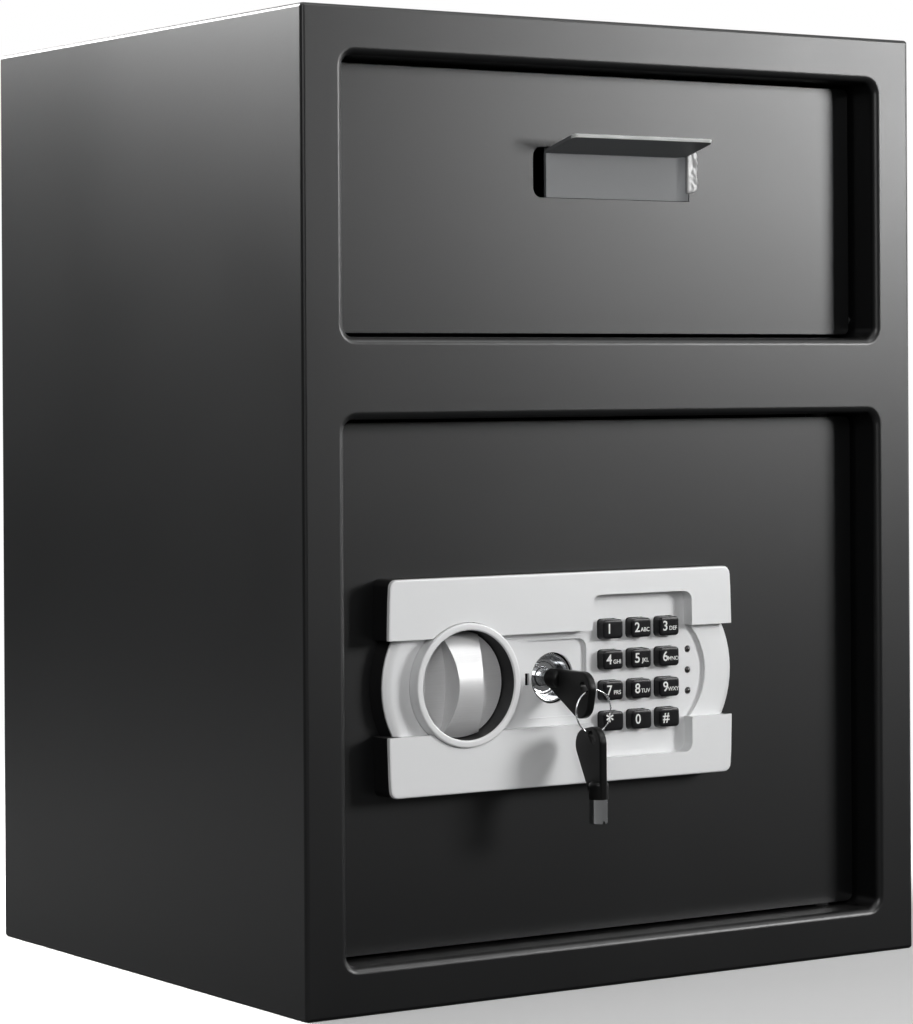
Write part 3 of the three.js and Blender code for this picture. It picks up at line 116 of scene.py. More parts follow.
class Grain(Enum):
    """The fine relief of a finish."""

    ORANGE_PEEL = "orange_peel"
    MOULDED = "moulded"
    BRUSHED = "brushed"
    POLISHED = "polished"


# Modelling steps


def deselect() -> None:
    """Leave edit mode and select nothing."""
    if bpy.context.mode != "OBJECT":
        bpy.ops.object.mode_set(mode="OBJECT")
    bpy.ops.object.select_all(action="DESELECT")


def activate(piece: Piece, *others: Piece) -> None:
    """Select pieces alone and make the first active.

    Args:
        piece: the active piece.
        others: more pieces to select.
    """
    deselect()
    for chosen in (piece, *others):
        chosen.select_set(True)
    bpy.context.view_layer.objects.active = piece


def settle(name: str) -> Piece:
    """Name the active piece and put its place and scale into its mesh.

    Args:
        name: the piece's name.

    Returns:
        The piece, with its object at the origin.
    """
    piece = bpy.context.active_object
    piece.name = name
    piece.data.name = name
    bpy.ops.object.transform_apply(location=True, rotation=True, scale=True)
    return piece


def add_block(name: str, low: Point, high: Point) -> Piece:
    """Add a cube that fills the box between two corners.

    Args:
        name: the piece's name.
        low: the lowest corner.
        high: the highest corner.

    Returns:
        The new piece.
    """
    deselect()
    lowest, highest = Vector(low) * MM, Vector(high) * MM
    bpy.ops.mesh.primitive_cube_add(size=1.0, location=(lowest + highest) / 2)
    bpy.context.active_object.scale = highest - lowest
    return settle(name)


def add_drum(
    name: str, axis: Axis, radius: float, start: float, end: float, centre: Point, sides: int
) -> Piece:
    """Add a cylinder along an axis.

    Args:
        name: the piece's name.
        axis: the direction of its length.
        radius: its radius.
        start: where it begins along the axis.
        end: where it ends along the axis.
        centre: a point on its axis.
        sides: how many sides approximate the circle.

    Returns:
        The new piece.
    """
    deselect()
    bpy.ops.mesh.primitive_cylinder_add(
        vertices=sides,
        radius=radius * MM,
        depth=abs(end - start) * MM,
        location=axis.put(centre, (start + end) / 2) * MM,
        rotation=axis.turn(),
    )
    return settle(name)


def pick(piece: Piece, kind: Kind, test: Test) -> None:
    """Enter edit mode and select what passes a test.

    Args:
        piece: the piece to edit.
        kind: what is selected.
        test: takes a point's place, an edge's two ends, or a face's centre and normal, in millimetres.
    """
    activate(piece)
    bpy.ops.object.mode_set(mode="EDIT")
    bpy.ops.mesh.select_mode(type=kind.value)
    bpy.ops.mesh.select_all(action="DESELECT")
    mesh = bmesh.from_edit_mesh(piece.data)
    if kind is Kind.POINT:
        facts = [(vert, (vert.co / MM,)) for vert in mesh.verts]
    elif kind is Kind.EDGE:
        facts = [(edge, tuple(vert.co / MM for vert in edge.verts)) for edge in mesh.edges]
    else:
        facts = [(face, (face.calc_center_median() / MM, face.normal)) for face in mesh.faces]
    for part, values in facts:
        part.select_set(test(*values))
    mesh.select_flush_mode()
    bmesh.update_edit_mesh(piece.data)


def pick_all(piece: Piece) -> None:
    """Enter edit mode with the whole mesh selected."""
    pick(piece, Kind.POINT, lambda point: True)


def move_picked(x: float = 0.0, y: float = 0.0, z: float = 0.0) -> None:
    """Move what is picked to the right, back and up."""
    bpy.ops.transform.translate(value=(x * MM, y * MM, z * MM))


def round_picked(width: float, segments: int) -> None:
    """Round the picked edges to a radius, in some steps."""
    bpy.ops.mesh.bevel(offset=width * MM, segments=segments, profile=0.5, affect="EDGES")
    bpy.ops.object.mode_set(mode="OBJECT")


def round_corners(piece: Piece, axis: Axis, radius: float, segments: int = 6) -> None:
    """Round the four corners of a block as seen along an axis.

    Args:
        piece: the block.
        axis: the direction its corner edges run in.
        radius: the corner radius.
        segments: how many steps make each corner.
    """

    def runs_along(first: Vector, second: Vector) -> bool:
        """Tell whether an edge is parallel to the axis."""
        line = second - first
        return line.length > TOUCH and abs(line.normalized().dot(Vector(axis.value))) > PARALLEL

    pick(piece, Kind.EDGE, runs_along)
    round_picked(radius, segments)


def slice_at(piece: Piece, axis: Axis, places: Sequence[float]) -> None:
    """Divide a piece's faces along planes across an axis.

    Args:
        piece: the piece.
        axis: the direction the planes face.
        places: where they stand along the axis.
    """
    for place in places:
        pick_all(piece)
        spot = tuple(part * place * MM for part in axis.value)
        bpy.ops.mesh.bisect(plane_co=spot, plane_no=axis.value)
    bpy.ops.object.mode_set(mode="OBJECT")


def spread(low: float, high: float, steps: int) -> list[float]:
    """Return evenly spaced places from low to high, both included, with some gaps between them."""
    return [low + step * (high - low) / steps for step in range(steps + 1)]


def shift_by(x: float, y: float, z: float) -> Matrix:
    """Return the matrix of a move to the right, back and up."""
    return Matrix.Translation((x * MM, y * MM, z * MM))


def turn_by(degrees: float, axis: Axis) -> Matrix:
    """Return the matrix of a turn in degrees about an axis."""
    return Matrix.Rotation(math.radians(degrees), 4, axis.name)


def apply_modifier(piece: Piece, kind: str, **settings: object) -> None:
    """Add one modifier to a piece and apply it.

    Args:
        piece: the piece.
        kind: the modifier's type.
        settings: the modifier's own fields.
    """
    activate(piece)
    modifier = piece.modifiers.new(kind.lower(), kind)
    for field_name, value in settings.items():
        setattr(modifier, field_name, value)
    bpy.ops.object.modifier_apply(modifier=modifier.name)


def combine(piece: Piece, tool: Piece, how: Cut = Cut.AWAY) -> None:
    """Cut, join or intersect a piece with a tool solid, which is then deleted.

    Args:
        piece: the piece that is changed.
        tool: the other solid.
        how: what the tool does.
    """
    apply_modifier(piece, "BOOLEAN", object=tool, operation=how.value, solver="EXACT")
    bpy.data.objects.remove(tool)


def soften(piece: Piece, width: float, segments: int = 2, angle: float = 35.0) -> None:
    """Break every sharp edge of a piece with a small round.

    Args:
        piece: the piece.
        width: the round's width.
        segments: how many steps make the round.
        angle: the smallest turn, in degrees, that counts as an edge.
    """
    apply_modifier(
        piece,
        "BEVEL",
        width=width * MM,
        segments=segments,
        limit_method="ANGLE",
        angle_limit=math.radians(angle),
        use_clamp_overlap=True,
    )


def smooth(piece: Piece, angle: float = 38.0) -> None:
    """Shade a piece smooth and keep its large flats flat.

    Args:
        piece: the piece.
        angle: the largest turn, in degrees, that is shaded smooth.
    """
    activate(piece)
    bpy.ops.object.shade_smooth_by_angle(angle=math.radians(angle))
    apply_modifier(piece, "WEIGHTED_NORMAL", keep_sharp=True, weight=FLAT_WEIGHT)


def close_up(piece: Piece) -> None:
    """Merge the doubles of a piece and turn its faces outwards.

    Args:
        piece: the piece.
    """
    pick_all(piece)
    bpy.ops.mesh.remove_doubles(threshold=WELD * MM)
    bpy.ops.mesh.normals_make_consistent(inside=False)
    bpy.ops.object.mode_set(mode="OBJECT")


def lathe(name: str, profile: Sequence[Pair], centre: Point, steps: int) -> Piece:
    """Draw a section by extruding one point, then spin it round an axis along y.

    Args:
        name: the piece's name.
        profile: radius and depth of each corner.
        centre: a point on the axis.
        steps: how many steps make the full turn.

    Returns:
        The turned piece.
    """
    middle = Axis.Y.put(centre, 0.0)
    places = [(middle + Vector((radius, depth, 0.0))) * MM for radius, depth in profile]
    deselect()
    bpy.ops.mesh.primitive_plane_add(size=MM, location=places[0])
    piece = settle(name)
    pick_all(piece)
    bpy.ops.mesh.merge(type="CENTER")
    for before, after in zip(places, places[1:]):
        bpy.ops.mesh.extrude_vertices_move(TRANSFORM_OT_translate={"value": after - before})
    bpy.ops.mesh.select_all(action="SELECT")
    bpy.ops.mesh.spin(steps=steps, angle=2 * math.pi, center=middle * MM, axis=Axis.Y.value)
    close_up(piece)
    return piece


def copy_of(piece: Piece, name: str, move: Matrix) -> Piece:
    """Copy a piece with its own mesh and set the copy in place.

    Args:
        piece: the piece that was modelled once.
        name: the copy's name.
        move: where the copy goes.

    Returns:
        The copy, with its object at the origin.
    """
    activate(piece)
    bpy.ops.object.duplicate(linked=False)
    copy = bpy.context.active_object
    copy.matrix_world = move @ copy.matrix_world
    return settle(name)


def merged_copy(name: str, node: str) -> Piece:
    """Copy a node's mesh, merge its loose triangles and dissolve its flat joins.

    Args:
        name: the new piece's name.
        node: the node to copy.

    Returns:
        A clean copy that operators can shape further.
    """
    piece = bpy.data.objects.new(name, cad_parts[node].data.copy())
    piece.data.name = name
    bpy.context.scene.collection.objects.link(piece)
    piece.data.materials.clear()
    close_up(piece)
    pick_all(piece)
    bpy.ops.mesh.dissolve_limited(angle_limit=math.radians(FLAT_JOIN))
    bpy.ops.object.mode_set(mode="OBJECT")
    return piece


# Finishes


class Board:
    """Places and joins the nodes of one tree."""

    def __init__(self, tree: bpy.types.NodeTree) -> None:
        """Start on an empty tree."""
        self.tree = tree
        tree.nodes.clear()

    def add(self, kind: str, **settings: object) -> bpy.types.Node:
        """Add a node.

        Args:
            kind: the node's type.
            settings: fields of the node, or what its inputs get, with underscores for spaces.

        Returns:
            The node.
        """
        node = self.tree.nodes.new(kind)
        for key, value in settings.items():
            if hasattr(node, key):
                setattr(node, key, value)
            else:
                self.feed(node.inputs[key.replace("_", " ")], value)
        return node

    def feed(self, target: Socket, value: object) -> None:
        """Give an input its source or its value.

        Args:
            target: the input.
            value: the output to link, or a plain value.
        """
        if isinstance(value, Socket):
            self.tree.links.new(value, target)
        else:
            target.default_value = value

    def maths(self, operation: str, first: object, second: object, clamp: bool = False) -> Socket:
        """Add a maths node.

        Args:
            operation: its operation.
            first: a socket or a number.
            second: a socket or a number.
            clamp: whether the result stays between 0 and 1.

        Returns:
            The result's socket.
        """
        node = self.add("ShaderNodeMath", operation=operation, use_clamp=clamp)
        self.feed(node.inputs[0], first)
        self.feed(node.inputs[1], second)
        return node.outputs[0]

    def blend(self, share: Socket, first: object, second: object) -> Socket:
        """Mix two colours.

        Args:
            share: how much of the second colour shows.
            first: the first colour.
            second: the second colour.

        Returns:
            The mixed colour's socket.
        """
        node = self.add("ShaderNodeMix", data_type="RGBA")
        for place, value in zip(COLOUR_MIX_INPUTS, (share, first, second)):
            self.feed(node.inputs[place], value)
        return node.outputs[COLOUR_MIX_OUTPUT]

    def noise(self, place: Socket, output: str = "Fac", **settings: object) -> Socket:
        """Add a noise texture.

        Args:
            place: its coordinates.
            output: which of its outputs is wanted.
            settings: its other inputs.

        Returns:
            The output's socket.
        """
        return self.add("ShaderNodeTexNoise", Vector=place, **settings).outputs[output]

    def ramp(self, value: Socket, start: float, end: float, **settings: object) -> Socket:
        """Stretch a range of values over 0 to 1, or over another range.

        Args:
            value: the socket to read.
            start: the value that becomes 0.
            end: the value that becomes 1.
            settings: other fields and inputs.

        Returns:
            The result's socket.
        """
        node = self.add("ShaderNodeMapRange", Value=value, From_Min=start, From_Max=end, **settings)
        return node.outputs[0]

    def group(self, tree: bpy.types.NodeTree, place: Socket, **values: float) -> bpy.types.NodeOutputs:
        """Place a shared group.

        Args:
            tree: the shared group.
            place: the coordinates that it reads.
            values: its numbers.

        Returns:
            The group's outputs.
        """
        return self.add("ShaderNodeGroup", node_tree=tree, Vector=place, **values).outputs


@dataclass
class SharedEffects:
    """Node groups that several finishes use, each built once."""

    clump_share: float = 0.35
    clump_height: float = 0.6
    scratch_stretch: float = 60.0
    scratch_contrast: Pair = (0.35, 0.65)
    mark_width: float = 0.012
    mark_patches: Pair = (0.56, 0.68)
    dust_start: float = 0.55
    dust_flecks: Pair = (0.42, 0.72)

    def __post_init__(self) -> None:
        """Build the groups."""
        self.relief = self.build_relief()
        self.brushing = self.build_brushing()
        self.rubbing = self.build_rubbing()
        self.dust = self.build_dust()

    @staticmethod
    def start(name: str, inputs: dict[str, float], *outputs: str) -> tuple[Board, bpy.types.NodeOutputs]:
        """Start a group with a Vector input and plain numbers.

        Args:
            name: the group's name.
            inputs: the name and default of each number.
            outputs: the names of the values it gives.

        Returns:
            The group's board and the sockets that bring its inputs.
        """
        tree = bpy.data.node_groups.new(name, "ShaderNodeTree")
        tree.interface.new_socket("Vector", in_out="INPUT", socket_type="NodeSocketVector")
        for label, value in inputs.items():
            socket = tree.interface.new_socket(label, in_out="INPUT", socket_type="NodeSocketFloat")
            socket.default_value = value
        for label in outputs:
            tree.interface.new_socket(label, in_out="OUTPUT", socket_type="NodeSocketFloat")
        board = Board(tree)
        return board, board.add("NodeGroupInput").outputs

    def build_relief(self) -> bpy.types.NodeTree:
        """Return a group with the rounded grain of paint as Height, and a slow Drift."""
        inputs = {"Scale": 900.0, "Drift Scale": 9.0}
        board, given = self.start("surface_relief", inputs, "Height", "Drift")
        place, scale = given["Vector"], given["Scale"]
        fine = board.noise(place, Scale=scale, Detail=2.0, Roughness=0.45)
        wide = board.maths("MULTIPLY", scale, self.clump_share)
        clumps = board.noise(place, Scale=wide, Detail=3.0, Roughness=0.6)
        height = board.maths("ADD", fine, board.maths("MULTIPLY", clumps, self.clump_height))
        drift = board.noise(place, Scale=given["Drift Scale"], Detail=4.0, Roughness=0.55)
        board.add("NodeGroupOutput", Height=height, Drift=drift)
        return board.tree

    def build_brushing(self) -> bpy.types.NodeTree:
        """Return a group with fine parallel lines as Height, and their Streak."""
        board, given = self.start("brushed_lines", {"Scale": 60.0}, "Height", "Streak")
        stretch = (1.0, self.scratch_stretch, self.scratch_stretch)
        place = board.add("ShaderNodeMapping", Vector=given["Vector"], Scale=stretch).outputs[0]
        lines = board.noise(place, Scale=given["Scale"], Detail=4.0, Roughness=0.7)
        board.add("NodeGroupOutput", Height=lines, Streak=board.ramp(lines, *self.scratch_contrast))
        return board.tree

    def build_rubbing(self) -> bpy.types.NodeTree:
        """Return a group with faint scuffs, thin broken marks of cloths and hands, as Mark."""
        board, given = self.start("rub_marks", {"Scale": 26.0, "Amount": 0.5}, "Mark")
        place = given["Vector"]
        shifted = board.add("ShaderNodeVectorMath", operation="ADD")
        board.feed(shifted.inputs[0], place)
        board.feed(shifted.inputs[1], board.noise(place, "Color", Scale=7.0, Detail=2.0))
        cells = board.add(
            "ShaderNodeTexVoronoi",
            feature="DISTANCE_TO_EDGE",
            Vector=shifted.outputs[0],
            Scale=given["Scale"],
        )
        thin = board.ramp(cells.outputs["Distance"], 0.0, self.mark_width, To_Min=1.0, To_Max=0.0)
        patches = board.ramp(board.noise(place, Scale=55.0, Detail=3.0), *self.mark_patches)
        both = board.maths("MULTIPLY", thin, patches)
        board.add("NodeGroupOutput", Mark=board.maths("MULTIPLY", both, given["Amount"]))
        return board.tree

    def build_dust(self) -> bpy.types.NodeTree:
        """Return a group with a thin dust on faces that look up, as Cover."""
        board, given = self.start("fine_dust", {"Amount": 0.2}, "Cover")
        normal = board.add("ShaderNodeNewGeometry").outputs["Normal"]
        heading = board.add("ShaderNodeSeparateXYZ", Vector=normal)
        upward = board.ramp(heading.outputs["Z"], self.dust_start, 1.0)
        flecks = board.noise(given["Vector"], Scale=420.0, Detail=5.0, Roughness=0.75)
        lying = board.maths("MULTIPLY", upward, board.ramp(flecks, *self.dust_flecks))
        board.add("NodeGroupOutput", Cover=board.maths("MULTIPLY", lying, given["Amount"], clamp=True))
        return board.tree


@dataclass(frozen=True)
class Finish:
    """One surface finish of the safe."""

    name: str
    colour: Point
    shift: float
    metallic: float
    roughness: float
    roughness_shift: float
    specular: float
    coat: float
    grain: Grain
    grain_scale: float
    bump: float
    depth: float
    rub: float
    dust: float

    def tone(self, factor: float) -> Colour:
        """Return the colour made lighter or darker by a factor."""
        red, green, blue = (min(1.0, channel * factor) for channel in self.colour)
        return (red, green, blue, 1.0)

    def material(self, effects: SharedEffects) -> Material:
        """Build the finish as a material.

        Args:
            effects: the shared node groups.

        Returns:
            The material.
        """
        material = bpy.data.materials.new(self.name)
        material.use_nodes = True
        board = Board(material.node_tree)
        place = board.add("ShaderNodeTexCoord").outputs["Object"]
        relief = board.group(effects.relief, place, Scale=self.grain_scale)
        height, drift = relief["Height"], relief["Drift"]
        if self.grain is Grain.BRUSHED:
            lines = board.group(effects.brushing, place)
            height, drift = lines["Height"], lines["Streak"]
        rub = board.group(effects.rubbing, place, Amount=self.rub)["Mark"]
        dust = board.group(effects.dust, place, Amount=self.dust)["Cover"]
        shade = board.blend(drift, self.tone(1.0 - self.shift), self.tone(1.0 + self.shift))
        swing = board.maths("MULTIPLY", drift, 2 * self.roughness_shift)
        base = board.maths("ADD", swing, self.roughness - self.roughness_shift)
        rubbed = board.maths("SUBTRACT", base, board.maths("MULTIPLY", rub, RUB_POLISH))
        dulling = board.maths("MULTIPLY", dust, DUST_DULLING)
        bump = board.add("ShaderNodeBump", Strength=self.bump, Distance=self.depth * MM, Height=height)
        shader = board.add(
            "ShaderNodeBsdfPrincipled",
            Base_Color=board.blend(dust, shade, DUST_COLOUR),
            Metallic=self.metallic,
            Roughness=board.maths("ADD", rubbed, dulling, clamp=True),
            Specular_IOR_Level=self.specular,
            Coat_Weight=self.coat,
            Coat_Roughness=COAT_ROUGHNESS,
            Normal=bump.outputs[0],
        )
        board.add("ShaderNodeOutputMaterial", Surface=shader.outputs[0])
        return material


class Palette:
    """Every finish of the safe, made once. Each row gives the fields of Finish in their order."""

    ROWS = (
        ("black_powder_coat", (0.0035, 0.0037, 0.004), 0.15, 0.0, 0.34, 0.03, 0.5, 0.0,
         Grain.ORANGE_PEEL, 620.0, 0.25, 0.05, 0.35, 0.05),
        ("grey_painted_steel", (0.15, 0.155, 0.16), 0.1, 0.0, 0.45, 0.05, 0.4, 0.0,
         Grain.ORANGE_PEEL, 700.0, 0.25, 0.05, 0.5, 0.1),
        # A lighter, part-metallic steel for the front edge faces of the pull's flange.
        ("sheared_steel_edge", (0.62, 0.63, 0.62), 0.25, 0.35, 0.5, 0.1, 0.5, 0.0,
         Grain.BRUSHED, 800.0, 0.6, 0.08, 0.5, 0.0),
        ("weld_metal", (0.42, 0.42, 0.42), 0.2, 0.2, 0.42, 0.12, 0.5, 0.0,
         Grain.MOULDED, 1500.0, 0.6, 0.1, 0.3, 0.0),
        ("silver_painted_plastic", (0.78, 0.785, 0.79), 0.03, 0.15, 0.44, 0.04, 0.4, 0.0,
         Grain.MOULDED, 1500.0, 0.12, 0.02, 0.2, 0.03),
        ("satin_silver_knob", (0.74, 0.74, 0.745), 0.04, 0.3, 0.38, 0.05, 0.5, 0.0,
         Grain.BRUSHED, 900.0, 0.08, 0.02, 0.2, 0.0),
        ("black_plastic", (0.006, 0.006, 0.0065), 0.2, 0.0, 0.5, 0.06, 0.3, 0.0,
         Grain.MOULDED, 1400.0, 0.3, 0.04, 0.3, 0.1),
        ("gloss_black_button", (0.005, 0.005, 0.006), 0.2, 0.0, 0.26, 0.05, 0.35, 0.0,
         Grain.MOULDED, 1600.0, 0.1, 0.02, 0.4, 0.03),
        ("printed_white", (0.82, 0.82, 0.8), 0.05, 0.0, 0.5, 0.06, 0.4, 0.0,
         Grain.MOULDED, 2400.0, 0.2, 0.01, 0.2, 0.0),
        ("zinc_plated_steel", (0.52, 0.53, 0.54), 0.12, 0.9, 0.36, 0.08, 0.5, 0.0,
         Grain.BRUSHED, 800.0, 0.25, 0.03, 0.5, 0.05),
        ("chrome", (0.72, 0.73, 0.74), 0.04, 1.0, 0.13, 0.04, 0.5, 0.0,
         Grain.POLISHED, 900.0, 0.04, 0.01, 0.4, 0.0),
        ("key_plastic", (0.004, 0.004, 0.004), 0.2, 0.0, 0.32, 0.06, 0.2, 0.0,
         Grain.MOULDED, 1500.0, 0.25, 0.03, 0.4, 0.05),
        ("circuit_board", (0.02, 0.12, 0.05), 0.2, 0.0, 0.4, 0.06, 0.5, 0.2,
         Grain.MOULDED, 1100.0, 0.2, 0.02, 0.2, 0.05),
        ("led_lens", (0.02, 0.016, 0.016), 0.15, 0.0, 0.15, 0.04, 0.6, 0.4,
         Grain.MOULDED, 1800.0, 0.05, 0.01, 0.2, 0.0),
        ("cell_wrap", (0.28, 0.09, 0.02), 0.12, 0.0, 0.3, 0.05, 0.5, 0.3,
         Grain.MOULDED, 700.0, 0.1, 0.02, 0.4, 0.0),
        ("red_plastic", (0.42, 0.02, 0.015), 0.12, 0.0, 0.3, 0.05, 0.5, 0.1,
         Grain.MOULDED, 1200.0, 0.15, 0.02, 0.3, 0.0),
    )

    def __init__(self) -> None:
        """Build the shared groups and every material."""
        effects = SharedEffects()
        self.materials = {row[0]: Finish(*row).material(effects) for row in self.ROWS}

    def __getitem__(self, name: str) -> Material:
        """Return the material of a finish."""
        return self.materials[name]


# Sub-assemblies


@dataclass
class Assembly:
    """A part of the safe that is built in one go."""

    palette: Palette

    def dress(self, finish: str, *names: str) -> None:
        """Give carried-over nodes their finish.

        Args:
            finish: the finish's name.
            names: the nodes' names.
        """
        for name in names:
            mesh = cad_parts[name].data
            mesh.materials.clear()
            mesh.materials.append(self.palette[finish])
            LOG.info("%s: dressed in %s", name, finish)

    def paint(self, piece: Piece, finish: str, second: str, test: Test) -> None:
        """Give a piece two finishes.

        Args:
            piece: the piece.
            finish: the finish of most faces.
            second: the finish of the faces that pass the test.
            test: takes a face's centre, in millimetres, and its normal.
        """
        for name in (finish, second):
            piece.data.materials.append(self.palette[name])
        for face in piece.data.polygons:
            face.material_index = int(test(face.center / MM, face.normal))

    def deliver(self, piece: Piece, body: str, slot: str, *nodes: str, finish: str = "") -> None:
        """Hand a finished piece to the frame.

        Args:
            piece: the piece.
            body: the body it rides on.
            slot: the record's material slot.
            nodes: the nodes that it stands for.
            finish: its finish, where that isn't the slot's and it has none yet.
        """
        deselect()
        if not piece.data.materials:
            piece.data.materials.append(self.palette[finish or slot])
        if nodes:
            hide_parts(*nodes)
        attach(piece, body)
        LOG.info("%s: %d faces on %s", piece.name, len(piece.data.polygons), body)


@dataclass
class Carcass(Assembly):
    """The welded body: shell, back, folded front frame and hand baffle."""

    half_width: float = 195.0
    height: float = 500.0
    face_front: float = -165.0
    sheet: float = 2.0
    edge_radius: float = 2.0
    edge_break: float = 0.25
    opening_half: float = 170.5
    openings: tuple[Pair, ...] = ((24.5, 295.0), (336.0, 475.5))
    corner_radius: float = 6.0
    bend_radius: float = 4.0
    flange_back: float = -118.0
    flange_reach: float = 10.0
    pin_hole_radius: float = 3.3
    pin_hole_reach: float = 8.0
    hopper_pin: Pair = (-139.6, 346.0)
    door_pin: Pair = (150.5, -138.0)
    bolt_hole_radius: float = 8.8
    bolt_hole_length: float = 16.0
    bolt_depth: float = -131.0
    bolt_heights: Pair = (115.0, 205.0)

    def build(self) -> None:
        """Build the front frame and dress the rest."""
        self.build_frame()
        self.dress("black_powder_coat", "body_shell", "back_panel", "drop_baffle")

    def opening_block(self, name: str, bottom: float, top: float, grow: float) -> Piece:
        """Add a rounded block as wide as an opening.

        Args:
            name: the block's name.
            bottom: the opening's lower edge.
            top: the opening's upper edge.
            grow: how far the block reaches past the opening's edges.

        Returns:
            The block, from before the face to behind the flanges.
        """
        half = self.opening_half + grow
        block = add_block(
            name,
            (-half, self.face_front - self.flange_reach, bottom - grow),
            (half, self.flange_back + self.flange_reach, top + grow),
        )
        round_corners(block, Axis.Y, self.corner_radius + grow, segments=8)
        return block

    def build_frame(self) -> None:
        """Fold the front frame: a face, two openings with rounded bends, and flanges."""
        half, low, high = self.half_width, 0.0, self.height
        face = add_block(
            "front_frame_folded", (-half, self.face_front, low), (half, self.flange_back, high)
        )
        round_corners(face, Axis.Y, self.edge_radius)
        slice_at(face, Axis.X, (0.0,))
        behind = add_block(
            "behind_face",
            (-half - OVERRUN, self.face_front + self.sheet, low - OVERRUN),
            (half + OVERRUN, self.flange_back + OVERRUN, high + OVERRUN),
        )
        for bottom, top in self.openings:
            combine(behind, self.opening_block("collar", bottom, top, self.sheet))
        for bottom, top in self.openings:
            combine(face, self.opening_block("opening", bottom, top, 0.0))
        for bottom, top in self.openings:
            pick(face, Kind.EDGE, lambda *ends: all(self.on_mouth(end, bottom, top) for end in ends))
            round_picked(self.bend_radius, segments=7)
        pick(face, Kind.EDGE, lambda *ends: all(self.on_rim(end) for end in ends))
        round_picked(self.edge_radius, segments=4)
        combine(face, behind)
        self.drill(face)
        soften(face, self.edge_break)
        smooth(face)
        self.deliver(face, "safe_body", "black_powder_coat", "front_frame")

    def on_mouth(self, point: Vector, bottom: float, top: float) -> bool:
        """Tell whether a point lies on the front edge of the opening between two heights."""
        inside = abs(point.x) < self.opening_half + TOUCH and bottom - TOUCH < point.z < top + TOUCH
        return inside and abs(point.y - self.face_front) < TOUCH

    def on_rim(self, point: Vector) -> bool:
        """Tell whether a point lies on the outer front edge of the face.

        Args:
            point: the point.
        """
        reach = self.edge_radius + TOUCH
        near_side = abs(point.x) > self.half_width - reach
        near_end = point.z < reach or point.z > self.height - reach
        return (near_side or near_end) and abs(point.y - self.face_front) < TOUCH

    def drill(self, face: Piece) -> None:
        """Drill the pivot holes and bolt holes through the flanges.

        Args:
            face: the folded frame.
        """
        side = self.opening_half + self.flange_reach
        bottom, top = self.openings[0]
        low, high = bottom - self.pin_hole_reach, top + self.pin_hole_reach
        radius = self.pin_hole_radius
        drums = [
            add_drum("pin_hole", Axis.X, radius, -side, side, (0.0, *self.hopper_pin), sides=24),
            add_drum("pin_hole", Axis.Z, radius, low, high, (*self.door_pin, 0.0), sides=24),
        ]
        radius, end = self.bolt_hole_radius, self.bolt_hole_length - side
        for height in self.bolt_heights:
            place = (0.0, self.bolt_depth, height)
            drums.append(add_drum("bolt_hole", Axis.X, radius, -side, end, place, sides=40))
        for drum in drums:
            combine(face, drum)


